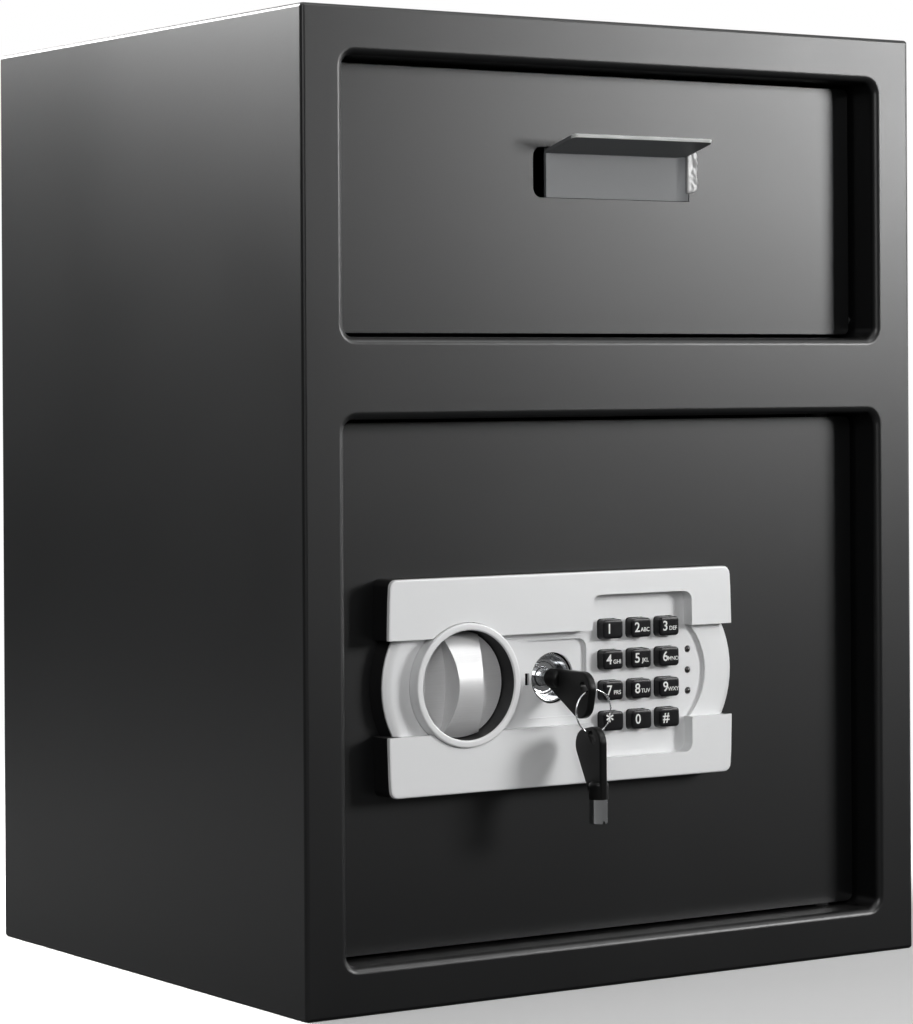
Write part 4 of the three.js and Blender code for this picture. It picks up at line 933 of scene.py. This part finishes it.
@dataclass
class Hopper(Assembly):
    """The deposit drawer: panel, pull, tray, cheeks and pivot pins."""

    half_width: float = 168.5
    bottom: float = 338.0
    top: float = 473.5
    front: float = -145.0
    sheet: float = 2.0
    corner_radius: float = 4.0
    panel_break: float = 0.5
    slot_low: Pair = (-43.1, 409.0)
    slot_high: Pair = (57.9, 434.9)
    slot_radius: float = 5.0
    square_start: float = 4.0
    pull_left: float = -33.7
    pull_right: float = 57.3
    pull_break: float = 0.25
    plate_bottom: float = 399.0
    plate_top: float = 444.9
    flange_front: float = -168.18
    flange_root: Pair = (431.99, 434.06)
    flange_rise: float = 6.75
    flange_tip: Pair = (0.52, 0.14)
    flange_corner: float = 3.0
    flange_side: float = 0.75
    fill_width: float = 7.5
    fill_inset: float = 0.1
    fill_overlap: float = 0.5
    fill_run: float = 1.95
    bead_low: Point = (56.6, -145.6, 413.0)
    bead_high: Point = (63.9, -143.2, 435.8)
    bead_rows: int = 15
    bead_columns: int = 5
    bead_foot: float = 1.5
    bead_lump: float = 0.6
    bead_bites: tuple[tuple[int, int, float], ...] = (
        (0, 3, -2.4), (1, 4, -1.5), (2, 5, -0.3), (4, 5, 0.5), (6, 5, -0.9), (7, 4, -0.8),
        (8, 5, -0.7), (10, 5, -0.4), (12, 5, -0.1), (14, 5, -0.6), (15, 4, -1.2),
    )

    def build(self) -> None:
        """Build the panel, the pull and its weld, and dress the tray."""
        self.build_panel()
        self.build_pull()
        self.build_bead()
        self.dress("black_powder_coat", "hopper_tray", "hopper_cheek_left", "hopper_cheek_right")
        self.dress("zinc_plated_steel", "hopper_pin_left", "hopper_pin_right")

    def build_panel(self) -> None:
        """Cut the slot in the drawer's front sheet and break its edges."""
        half, back = self.half_width, self.front + self.sheet
        panel = add_block("hopper_panel_sheet", (-half, self.front, self.bottom), (half, back, self.top))
        round_corners(panel, Axis.Y, self.corner_radius)
        (left, low), (right, high) = self.slot_low, self.slot_high
        middle = (left + right) / 2
        slice_at(panel, Axis.X, (middle,))
        far_corner = (right, back + OVERRUN, high)
        slot = add_block("pull_slot", (left, self.front - OVERRUN, low), far_corner)
        round_corners(slot, Axis.Y, self.slot_radius, segments=8)
        combine(panel, slot)
        square_corner = (middle + self.square_start, self.front - OVERRUN, low)
        combine(panel, add_block("slot_end", square_corner, far_corner))
        soften(panel, self.panel_break, segments=3)
        smooth(panel)
        self.deliver(panel, "hopper", "black_powder_coat", "hopper_panel")

    def build_pull(self) -> None:
        """Form the pull: a plate behind the slot and a flange that slopes up and out of it."""
        behind = self.front + self.sheet
        plate = add_block(
            "deposit_pull",
            (self.pull_left, behind, self.plate_bottom),
            (self.pull_right, behind + self.sheet, self.plate_top),
        )
        combine(plate, self.build_flange(), Cut.JOIN)
        (_, slot_bottom), (slot_right, _) = self.slot_low, self.slot_high
        fill_left, fill_top = slot_right - self.fill_width, self.flange_root[0] + self.fill_overlap
        fill = add_block(
            "pull_fill",
            (fill_left, self.front + self.fill_inset, slot_bottom + TOUCH),
            (slot_right - TOUCH, behind + self.sheet / 2, fill_top),
        )
        pick(fill, Kind.POINT, lambda p: p.x < fill_left + TOUCH and p.y < self.front + NEAR)
        move_picked(y=self.fill_run)
        combine(plate, fill, Cut.JOIN)
        soften(plate, self.pull_break)
        smooth(plate)
        tip = self.flange_front + self.flange_corner
        # The flange's front edge faces get the lighter steel, which shows as a bright line along the
        # flange.
        self.paint(
            plate,
            "grey_painted_steel",
            "sheared_steel_edge",
            lambda centre, normal: centre.y < tip and abs(normal.z) < self.flange_side,
        )
        self.deliver(plate, "hopper", "grey_painted_steel", "deposit_handle")

    def build_flange(self) -> Piece:
        """Slope the pull's flange up and round its front corners.

        Returns:
            The flange.
        """
        root_low, root_high = self.flange_root
        flange = add_block(
            "pull_flange",
            (self.pull_left, self.flange_front, root_low),
            (self.pull_right, self.front + self.sheet + self.sheet / 2, root_high),
        )
        tip, middle = self.flange_front + NEAR, (root_low + root_high) / 2 + self.flange_rise
        back, rise = self.flange_tip
        pick(flange, Kind.POINT, lambda p: p.y < tip)
        move_picked(z=self.flange_rise)
        pick(flange, Kind.POINT, lambda p: p.y < tip and p.z < middle)
        move_picked(y=back, z=rise)
        pick(flange, Kind.EDGE, lambda a, b: max(a.y, b.y) < tip + NEAR and abs(a.x - b.x) < TOUCH)
        round_picked(self.flange_corner, segments=6)
        return flange

    def build_bead(self) -> None:
        """Lay the lumpy weld that joins the pull to the panel at the slot's right end."""
        bead = add_block("pull_weld_bead", self.bead_low, self.bead_high)
        (left, face, low), (right, _, high) = self.bead_low, self.bead_high
        rows = spread(low, high, self.bead_rows)
        columns = spread(left, right, self.bead_columns)
        slice_at(bead, Axis.Z, rows[1:-1])
        slice_at(bead, Axis.X, columns[1:-1])
        for row, column, inward in self.bead_bites:
            height, edge = rows[row], columns[column]
            pick(bead, Kind.POINT, lambda p: abs(p.z - height) < TOUCH and p.x > edge - TOUCH)
            move_picked(x=inward)
        pick(bead, Kind.POINT, lambda p: p.y < face + TOUCH and p.x > left + self.bead_foot)
        bpy.ops.transform.vertex_random(offset=self.bead_lump * MM, uniform=0.7, normal=0.3, seed=7)
        apply_modifier(bead, "SUBSURF", levels=2, render_levels=2)
        smooth(bead, angle=60)
        self.deliver(bead, "hopper", "grey_painted_steel", finish="weld_metal")


@dataclass
class Door(Assembly):
    """The hinged door with its two knuckles and fixed hardware."""

    screw_count: int = 4
    cell_count: int = 4

    def build(self) -> None:
        """Dress the plate, the hinges, the boltwork and what lies behind the cover."""
        screws = [f"cover_screw_{number + 1}" for number in range(self.screw_count)]
        cells = [f"battery_cell_{number + 1}" for number in range(self.cell_count)]
        bolts = ("bolt_carriage", "live_bolt_upper", "live_bolt_lower", "solenoid_plunger")
        self.dress("black_powder_coat", "door_plate", "hinge_knuckle_upper", "hinge_knuckle_lower")
        self.dress("zinc_plated_steel", "lock_cover", "solenoid_body", *screws, *bolts)
        self.dress("circuit_board", "keypad_board")
        self.dress("black_plastic", "battery_box", "battery_lid")
        self.dress("cell_wrap", *cells)
        self.dress("red_plastic", "reset_button")


@dataclass
class LockPanel(Assembly):
    """The moulded lock panel: silver face, black housing, knob ring and lenses."""

    knob_centre: Pair = (-96.2, 160.0)
    ring_outer: float = 31.6
    ring_inner: float = 27.8
    ring_front: float = -162.3
    ring_back: float = -146.5
    ring_round: float = 0.9
    wall_tilt: float = 0.3
    lens_x: float = 49.0
    lens_heights: Point = (171.0, 160.0, 149.0)
    lens_radius: float = 1.65
    lens_floor: float = -153.2
    lens_dome: float = 1.0
    lens_back: float = -146.7
    lens_curve: tuple[Pair, ...] = ((0.0, 0.0), (0.45, 0.1), (0.8, 0.4))
    mouldings: tuple[tuple[str, str, str, float], ...] = (
        ("lock_panel_face", "lock_faceplate", "silver_painted_plastic", 0.3),
        ("lock_panel_housing", "lock_housing", "black_plastic", 0.4),
    )

    def build(self) -> None:
        """Build the face, the housing, the ring and the lenses."""
        for name, node, slot, width in self.mouldings:
            moulding = merged_copy(name, node)
            soften(moulding, width, angle=40)
            smooth(moulding, angle=42)
            self.deliver(moulding, "door", slot, node)
        self.build_ring()
        self.build_lenses()

    def build_ring(self) -> None:
        """Spin the raised ring round the knob."""
        x, z = self.knob_centre
        section = (
            (self.ring_inner, self.ring_back),
            (self.ring_outer, self.ring_back),
            (self.ring_outer, self.ring_front),
            (self.ring_inner, self.ring_front),
            (self.ring_inner, self.ring_back),
        )
        ring = lathe("knob_collar", section, (x, 0.0, z), steps=96)
        soften(ring, self.ring_round, segments=4)
        smooth(ring)

        def is_shaded_inner_wall(centre: Vector, normal: Vector) -> bool:
            """Tell whether a face looks towards the knob: these inner-wall faces get black plastic as
            painted shade.
            """
            return normal.dot(centre - Vector((x, 0.0, z))) < 0 and abs(normal.y) < self.wall_tilt

        # The ring's inner wall is given black plastic as painted shade: it stands for the dark shade
        # inside the ring.
        self.paint(ring, "silver_painted_plastic", "black_plastic", is_shaded_inner_wall)
        self.deliver(ring, "door", "silver_painted_plastic", "knob_ring")

    def build_lenses(self) -> None:
        """Turn one domed lens and copy it for the three lamps."""
        radius, dome = self.lens_radius, self.lens_dome
        tip = self.lens_floor - dome
        section = (
            *((radius * out, tip + dome * down) for out, down in self.lens_curve),
            (radius, self.lens_floor),
            (radius, self.lens_back),
            (0.0, self.lens_back),
        )
        first = lathe("status_lens", section, (self.lens_x, 0.0, self.lens_heights[0]), steps=32)
        smooth(first)
        for number, height in enumerate(self.lens_heights, start=1):
            place = shift_by(0.0, 0.0, height - self.lens_heights[0])
            lens = copy_of(first, f"status_lens_{number}", place)
            self.deliver(lens, "door", "led_lens", f"status_led_{number}")
        bpy.data.objects.remove(first)


@dataclass
class Knob(Assembly):
    """The dial and its waisted grip, with the crank behind it."""

    centre: Pair = (-96.2, 160.0)
    dial_radius: float = 27.2
    dial_front: float = -150.8
    dial_back: float = -148.8
    dial_sides: int = 96
    waist: float = 14.4
    end_width: float = 23.6
    grip_height: float = 13.2
    grip_root: float = 0.5
    grip_inset: float = 0.05
    end_height: float = 0.5
    edge_round: float = 0.45
    row_count: int = 16

    def build(self) -> None:
        """Build the dial with its grip and dress the crank."""
        x, z = self.centre
        rows = spread(z - self.dial_radius, z + self.dial_radius, self.row_count)
        dial = self.add_round("turn_knob", self.dial_radius, self.dial_front, self.dial_back)
        slice_at(dial, Axis.Z, rows[1:-1])
        combine(dial, self.build_grip(rows), Cut.JOIN)
        soften(dial, self.edge_round, segments=3, angle=32)
        smooth(dial, angle=40)
        self.deliver(dial, "knob", "satin_silver_knob", "dial_knob")
        self.dress("zinc_plated_steel", "knob_crank")

    def add_round(self, name: str, radius: float, front: float, back: float) -> Piece:
        """Add a drum on the knob's axis.

        Args:
            name: the drum's name.
            radius: its radius.
            front: where it begins.
            back: where it ends.

        Returns:
            The drum.
        """
        x, z = self.centre
        return add_drum(name, Axis.Y, radius, front, back, (x, 0.0, z), self.dial_sides)

    def build_grip(self, rows: Sequence[float]) -> Piece:
        """Shape the grip from a block: narrow and high in the middle, wide and low at its ends.

        Args:
            rows: the heights where its outline is set.

        Returns:
            The grip, trimmed to the dial's round.
        """
        x, z = self.centre
        half, top = self.waist / 2, self.dial_front - self.grip_height
        far_corner = (x + half, self.dial_front + self.grip_root, rows[-1])
        grip = add_block("grip", (x - half, top, rows[0]), far_corner)
        slice_at(grip, Axis.Z, rows[1:-1])
        for height in rows:
            share = ((height - z) / self.dial_radius) ** 2
            widen = (self.waist + (self.end_width - self.waist) * share) / self.waist
            pick(grip, Kind.POINT, lambda p: abs(p.z - height) < TOUCH)
            bpy.ops.transform.resize(value=(widen, 1, 1), center_override=(x * MM, 0, 0))
            pick(grip, Kind.POINT, lambda p: abs(p.z - height) < TOUCH and p.y < self.dial_front - NEAR)
            move_picked(y=(self.grip_height - self.end_height) * share)
        radius, back = self.dial_radius - self.grip_inset, self.dial_back - self.grip_root
        combine(grip, self.add_round("dial_round", radius, top - OVERRUN, back), Cut.KEEP)
        return grip


@dataclass
class Keypad(Assembly):
    """Twelve buttons, each with its printed legend."""

    columns: Point = (-3.4, 14.9, 33.2)
    rows: tuple[float, ...] = (184.15, 168.15, 152.15, 136.15)
    width: float = 12.8
    height: float = 10.0
    front: float = -158.6
    back: float = -150.5
    corner: float = 2.0
    crown: float = 0.8
    field_rise: float = 0.15
    field_inset: float = 0.9
    digit_size: float = 7.2
    digit_place: float = 3.6
    letter_size: float = 3.0
    letter_place: Pair = (8.7, -1.1)
    star_size: float = 10.5
    single_shift: float = 2.6
    print_depth: float = 0.02
    print_weight: float = 0.012
    legends: tuple[tuple[str, str, str], ...] = (
        ("1", "", "1"), ("2", "ABC", "2"), ("3", "DEF", "3"),
        ("4", "GHI", "4"), ("5", "JKL", "5"), ("6", "MNO", "6"),
        ("7", "PRS", "7"), ("8", "TUV", "8"), ("9", "WXY", "9"),
        ("*", "", "star"), ("0", "", "0"), ("#", "", "hash"),
    )

    def build(self) -> None:
        """Model one button, copy it to each place and print its legend."""
        first = self.build_button()
        for index, (digit, letters, label) in enumerate(self.legends):
            row, column = divmod(index, len(self.columns))
            x, z = self.columns[column], self.rows[row]
            body, slot = f"key_pad_{label}", "gloss_black_button"
            place = shift_by(x - self.columns[0], 0.0, z - self.rows[0])
            button = copy_of(first, f"push_button_{label}", place)
            self.deliver(button, body, slot, f"button_{label}")
            legend = self.build_legend(label, digit, letters, x, z)
            self.deliver(legend, body, slot, finish="printed_white")
        bpy.data.objects.remove(first)

    def build_button(self) -> Piece:
        """Shape one button cap: rounded corners, rolled front edge and a shallow raised field.

        Returns:
            The cap at the first place.
        """
        x, z = self.columns[0], self.rows[0]
        half, rise, face = self.width / 2, self.height / 2, self.front + self.field_rise
        cap = add_block("push_button", (x - half, face, z - rise), (x + half, self.back, z + rise))
        round_corners(cap, Axis.Y, self.corner, segments=5)
        pick(cap, Kind.EDGE, lambda a, b: max(a.y, b.y) < face + TOUCH)
        round_picked(self.crown, segments=4)
        pick(cap, Kind.FACE, lambda centre, normal: normal.y < -PARALLEL)
        bpy.ops.mesh.inset(thickness=self.field_inset * MM)
        move_picked(y=-self.field_rise)
        smooth(cap, angle=50)
        return cap

    def build_legend(self, label: str, digit: str, letters: str, x: float, z: float) -> Piece:
        """Print a digit and its small letters on a button.

        Args:
            label: the button's label in names.
            digit: the large sign.
            letters: the small letters, or nothing.
            x: the button's middle across.
            z: the button's middle upwards.

        Returns:
            The legend as one mesh.
        """
        left = x - self.width / 2
        if not letters:
            size = self.star_size if digit == "*" else self.digit_size
            activate(self.print_text(digit, size, x - self.single_shift, z))
            return settle(f"legend_{label}")
        large = self.print_text(digit, self.digit_size, left + self.digit_place, z)
        across, down = self.letter_place
        small = self.print_text(letters, self.letter_size, left + across, z + down)
        activate(large, small)
        bpy.ops.object.join()
        return settle(f"legend_{label}")

    def print_text(self, text: str, size: float, x: float, z: float) -> Piece:
        """Make one text a thin mesh on the buttons' front.

        Args:
            text: what it says.
            size: the height of its line.
            x: its middle across.
            z: its middle upwards.

        Returns:
            The mesh, facing the viewer.
        """
        deselect()
        place = Vector((x, self.front - self.print_depth, z)) * MM
        bpy.ops.object.text_add(location=place, rotation=Axis.Y.turn())
        sign = bpy.context.active_object
        sign.data.body = text
        sign.data.size = size * MM
        sign.data.align_x = "CENTER"
        sign.data.align_y = "CENTER"
        sign.data.extrude = self.print_depth * MM
        sign.data.offset = self.print_weight * size * MM
        bpy.ops.object.convert(target="MESH")
        return bpy.context.active_object


@dataclass
class OverrideLock(Assembly):
    """The tubular key lock in its seat, with plug and cam."""

    centre: Pair = (-37.3, 160.0)
    rim_radius: float = 12.6
    rim_front: float = -149.2
    cone_outer: float = 11.6
    cone_inner: float = 9.3
    face: float = -142.4
    step_radii: Pair = (7.7, 8.1)
    step_height: float = 0.5
    bore: float = 5.1
    barrel_radius: float = 11.0
    seat: float = -145.0
    barrel_end: float = -112.4
    core_radius: float = 7.3
    core_start: float = -134.4
    edge_break: float = 0.25

    def build(self) -> None:
        """Turn the lock's shell and dress its core."""
        x, z = self.centre
        step_foot, step_top = self.step_radii
        section = (
            (self.bore, self.face),
            (step_foot, self.face),
            (step_top, self.face - self.step_height),
            (self.cone_inner, self.face - self.step_height),
            (self.cone_outer, self.rim_front),
            (self.rim_radius, self.rim_front),
            (self.rim_radius, self.seat),
            (self.barrel_radius, self.seat),
            (self.barrel_radius, self.barrel_end),
            (self.core_radius, self.barrel_end),
            (self.core_radius, self.core_start),
            (self.bore, self.core_start),
            (self.bore, self.face),
        )
        shell = lathe("lock_shell", section, (x, 0.0, z), steps=72)
        soften(shell, self.edge_break, segments=3)
        smooth(shell)
        self.deliver(shell, "door", "chrome", "lock_cylinder")
        self.dress("chrome", "key_plug")
        self.dress("zinc_plated_steel", "lock_cam")


@dataclass
class Keys(Assembly):
    """The key in the lock, its ring and the spare key that hangs from it."""

    shoulder: Point = (-37.3, -150.8, 160.0)
    head_radius: float = 8.6
    head_centres: tuple[Pair, ...] = ((28.0, -3.5), (26.5, -10.4))
    head_half: float = 2.2
    head_round: float = 1.1
    head_break: float = 0.3
    head_join: float = 0.5
    neck_radius: float = 5.1
    neck_length: float = 9.0
    neck_straight: float = 3.0
    neck_round: float = 2.2
    hole_centre: Pair = (31.3, -3.0)
    hole_radius: float = 2.2
    hole_length: float = 3.6
    hole_slant: float = 45.0
    hole_fullness: float = 0.99
    hole_overrun: float = 3.0
    tube_radius: float = 4.8
    tube_inner: float = 3.8
    tube_length: float = 12.5
    tube_chamfer: Pair = (0.4, 0.5)
    tube_break: float = 0.15
    notch: Pair = (1.4, 1.6)
    ring_centre: Point = (-34.3, -183.37, 144.98)
    ring_radius: float = 10.7
    ring_turns: float = 1.85
    ring_steps: int = 160
    wire_radius: float = 0.3
    wire_pitch: float = 2.04
    wire_sides: int = 12
    spare_shoulder: float = 100.68
    spare_drop: float = -4.273
    spare_turn: float = -3.0

    def build(self) -> None:
        """Model one key, set it in the lock, and hang its copy on the ring."""
        bow, tube = self.build_bow(), self.build_tube()
        x, y, _ = self.ring_centre
        hung = shift_by(x, y, self.spare_shoulder) @ turn_by(self.spare_turn, Axis.Z)
        hung = hung @ shift_by(0.0, self.spare_drop, 0.0) @ turn_by(180, Axis.Z) @ turn_by(-90, Axis.X)
        places = (
            ("override_key", shift_by(*self.shoulder), "key_core", "key"),
            ("spare_key", hung, "spare_key", "spare_key"),
        )
        for name, place, body, node in places:
            head = copy_of(bow, f"{name}_head", place)
            self.deliver(head, body, "key_plastic", f"{node}_bow")
            barrel = copy_of(tube, f"{name}_barrel", place)
            self.deliver(barrel, body, "chrome", f"{node}_tube")
        bpy.data.objects.remove(bow)
        bpy.data.objects.remove(tube)
        self.build_ring()

    def build_bow(self) -> Piece:
        """Hull two rounds and the neck into the key's head, and add its boss and hole.

        Returns:
            The head, with the key's shoulder at the origin.
        """
        half, neck = self.head_half, self.neck_radius
        head = add_block("head", (-half, -self.neck_straight, -neck), (half, 0.0, neck))
        discs = [
            add_drum("disc", Axis.X, self.head_radius, -half, half, (0.0, -u, v), sides=72)
            for u, v in self.head_centres
        ]
        activate(head, *discs)
        bpy.ops.object.join()
        pick_all(head)
        bpy.ops.mesh.convex_hull()
        bpy.ops.mesh.select_all(action="SELECT")
        bpy.ops.mesh.dissolve_limited(angle_limit=math.radians(self.head_join))
        bpy.ops.object.mode_set(mode="OBJECT")
        soften(head, self.head_round, segments=4, angle=50)
        boss = add_drum("boss", Axis.Y, neck, -self.neck_length, 0.0, (0.0, 0.0, 0.0), sides=48)
        pick(boss, Kind.EDGE, lambda a, b: max(a.y, b.y) < -self.neck_length + TOUCH)
        round_picked(self.neck_round, segments=5)
        combine(head, boss, Cut.JOIN)
        combine(head, self.hole_tool())
        soften(head, self.head_break, angle=50)
        smooth(head, angle=45)
        return head

    def hole_tool(self) -> Piece:
        """Return the slanted slot that the ring passes through."""
        u, v = self.hole_centre
        radius, side = self.hole_radius, self.head_half + self.hole_overrun
        reach = self.hole_length / 2 + radius
        tool = add_block("hole", (-side, -reach, -radius), (side, reach, radius))
        round_corners(tool, Axis.X, radius * self.hole_fullness)
        tool.matrix_world = shift_by(0.0, -u, v) @ turn_by(self.hole_slant, Axis.X)
        activate(tool)
        return settle("hole")

    def build_tube(self) -> Piece:
        """Turn the key's tube with its chamfered end and cut the notch.

        Returns:
            The tube, with the key's shoulder at the origin.
        """
        inner, outer, end = self.tube_inner, self.tube_radius, self.tube_length
        inwards, down = self.tube_chamfer
        section = (
            (inner, 0.0),
            (outer, 0.0),
            (outer, end - down),
            (outer - inwards, end),
            (inner, end),
            (inner, 0.0),
        )
        tube = lathe("tube", section, (0.0, 0.0, 0.0), steps=48)
        width, depth = self.notch
        far_corner = (width / 2, end + OVERRUN, outer + OVERRUN)
        combine(tube, add_block("notch", (-width / 2, end - depth, 0.0), far_corner))
        soften(tube, self.tube_break)
        smooth(tube)
        return tube

    def build_ring(self) -> None:
        """Coil the split ring from one round of wire."""
        deselect()
        bpy.ops.mesh.primitive_circle_add(
            vertices=self.wire_sides, radius=self.wire_radius * MM, rotation=Axis.Y.turn()
        )
        ring = settle("split_ring")
        pick_all(ring)
        move_picked(x=self.ring_radius + self.wire_radius)
        rise = self.wire_pitch * self.wire_radius * self.ring_turns
        apply_modifier(
            ring,
            "SCREW",
            axis="Z",
            angle=2 * math.pi * self.ring_turns,
            screw_offset=rise * MM,
            steps=self.ring_steps,
            render_steps=self.ring_steps,
        )
        pick_all(ring)
        bpy.ops.mesh.select_mode(type="EDGE")
        bpy.ops.mesh.select_all(action="DESELECT")
        bpy.ops.mesh.select_non_manifold()
        bpy.ops.mesh.edge_face_add()
        close_up(ring)
        place = shift_by(*self.ring_centre) @ turn_by(90, Axis.X)
        ring.matrix_world = place @ shift_by(0.0, 0.0, -rise / 2)
        activate(ring)
        ring = settle("split_ring")
        smooth(ring, angle=60)
        self.deliver(ring, "ring", "chrome", "key_ring")


# Studio


@dataclass
class Studio:
    """Camera, in millimetres, and lamps, floor and background, in metres."""

    camera_place: Point = (-1076.2, -1625.0, 314.3)
    yaw: float = 33.633
    roll: float = -0.335
    focal_pixels: float = 3484.2
    frame_height: float = 1024.0
    sensor: float = 36.0
    shift_pixels: float = -131.8
    clip: Pair = (0.05, 200.0)
    ambient: float = 0.08
    wall_glow: float = 0.1
    ceiling_start: float = 0.25
    ceiling_end: float = 0.9
    floor_colour: float = 0.85
    floor_bounce: float = 0.12
    floor_reach: float = 30.0
    fade_start: float = 0.35
    fade_end: float = 1.3
    target: Point = (0.0, 0.0, 0.25)
    lamps: tuple[tuple[str, Point, float, float, float], ...] = (
        ("key_softbox", (1.7, -1.79, 0.8), 0.6, 0.6, 30.0),
        ("high_softbox", (1.09, -1.46, 2.0), 0.9, 0.9, 10.0),
        ("near_card", (1.12, -1.08, 0.55), 0.4, 0.4, 1.1),
        ("fill_softbox", (-1.25, -2.1, 1.2), 1.2, 1.2, 20.0),
        ("right_strip", (1.9, -0.25, 0.45), 0.3, 1.2, 9.0),
        ("rear_left_softbox", (-0.66, 0.9, 0.98), 0.9, 0.55, 46.0),
        ("overhead_softbox", (-0.3, 0.2, 2.1), 1.4, 1.4, 8.0),
    )

    def build(self) -> None:
        """Set up everything that isn't part of the safe."""
        self.build_camera()
        self.build_world()
        self.build_floor()
        for lamp in self.lamps:
            self.build_lamp(*lamp)
        bpy.context.scene.view_settings.view_transform = "Standard"

    def build_camera(self) -> None:
        """Place the camera as the photograph's, with its vertical shift."""
        yaw, roll = math.radians(self.yaw), math.radians(self.roll)
        ahead = Vector((math.sin(yaw), math.cos(yaw), 0.0))
        right = Vector((math.cos(yaw), -math.sin(yaw), 0.0))
        up = Vector(Axis.Z.value)
        turned_right = right * math.cos(roll) + up * math.sin(roll)
        turned_up = up * math.cos(roll) - right * math.sin(roll)
        data = bpy.data.cameras.new("photo_camera")
        data.lens = self.focal_pixels / self.frame_height * self.sensor
        data.sensor_width = self.sensor
        data.shift_y = self.shift_pixels / self.frame_height
        data.clip_start, data.clip_end = self.clip
        camera = bpy.data.objects.new("photo_camera", data)
        bpy.context.scene.collection.objects.link(camera)
        basis = Matrix((turned_right, turned_up, -ahead)).transposed().to_4x4()
        camera.matrix_world = shift_by(*self.camera_place) @ basis
        bpy.context.scene.camera = camera

    def build_world(self) -> None:
        """Make the background white where it is seen and dim where it lights."""
        world = bpy.data.worlds.new("studio_world")
        world.use_nodes = True
        bpy.context.scene.world = world
        board = Board(world.node_tree)
        path = board.add("ShaderNodeLightPath").outputs
        heading = board.add("ShaderNodeTexCoord").outputs["Generated"]
        height = board.add("ShaderNodeSeparateXYZ", Vector=heading).outputs["Z"]
        studio = board.ramp(
            height,
            self.ceiling_start,
            self.ceiling_end,
            interpolation_type="SMOOTHSTEP",
            To_Min=self.wall_glow,
        )
        mirrored = board.maths("MULTIPLY", path["Is Glossy Ray"], studio)
        plain = board.maths("MAXIMUM", path["Is Camera Ray"], path["Is Transmission Ray"])
        seen = board.maths("MAXIMUM", mirrored, plain)
        strength = board.maths("MAXIMUM", seen, self.ambient)
        white = (1.0, 1.0, 1.0, 1.0)
        background = board.add("ShaderNodeBackground", Color=white, Strength=strength)
        board.add("ShaderNodeOutputWorld", Surface=background.outputs[0])

    def build_floor(self) -> None:
        """Lay a pale floor that keeps the shadow near the safe and turns white further out."""
        deselect()
        bpy.ops.mesh.primitive_plane_add(size=2 * self.floor_reach)
        floor = settle("studio_floor")
        material = bpy.data.materials.new("pale_floor")
        material.use_nodes = True
        board = Board(material.node_tree)
        seen = board.add("ShaderNodeLightPath").outputs["Is Camera Ray"]
        bounced, shown = ((grey, grey, grey, 1.0) for grey in (self.floor_bounce, self.floor_colour))
        matt = board.add("ShaderNodeBsdfDiffuse", Color=board.blend(seen, bounced, shown))
        place = board.add("ShaderNodeTexCoord").outputs["Object"]
        distance = board.add("ShaderNodeVectorMath", operation="LENGTH", Vector=place).outputs["Value"]
        fade = board.maths("MULTIPLY", board.ramp(distance, self.fade_start, self.fade_end), seen)
        mix = board.add("ShaderNodeMixShader", Fac=fade)
        board.feed(mix.inputs[1], matt.outputs[0])
        board.feed(mix.inputs[2], board.add("ShaderNodeEmission").outputs[0])
        board.add("ShaderNodeOutputMaterial", Surface=mix.outputs[0])
        floor.data.materials.append(material)

    def build_lamp(self, name: str, place: Point, width: float, height: float, power: float) -> None:
        """Hang one softbox that faces the safe.

        Args:
            name: the lamp's name.
            place: where it hangs.
            width: its width.
            height: its height.
            power: its power in watts.
        """
        data = bpy.data.lights.new(name, "AREA")
        data.shape = "RECTANGLE"
        data.size = width
        data.size_y = height
        data.energy = power
        lamp = bpy.data.objects.new(name, data)
        lamp.visible_camera = False
        bpy.context.scene.collection.objects.link(lamp)
        lamp.location = place
        lamp.rotation_euler = (Vector(self.target) - Vector(place)).to_track_quat("-Z", "Y").to_euler()


def main() -> None:
    """Build every sub-assembly in order and log what each one builds."""
    logging.basicConfig(level=logging.INFO, format="%(name)s: %(message)s")
    palette = Palette()
    parts = (Carcass, Hopper, Door, LockPanel, Knob, Keypad, OverrideLock, Keys)
    for assembly in (*(part(palette) for part in parts), Studio()):
        LOG.info("building %s", type(assembly).__name__)
        assembly.build()
    deselect()


if __name__ == "__main__":
    main()
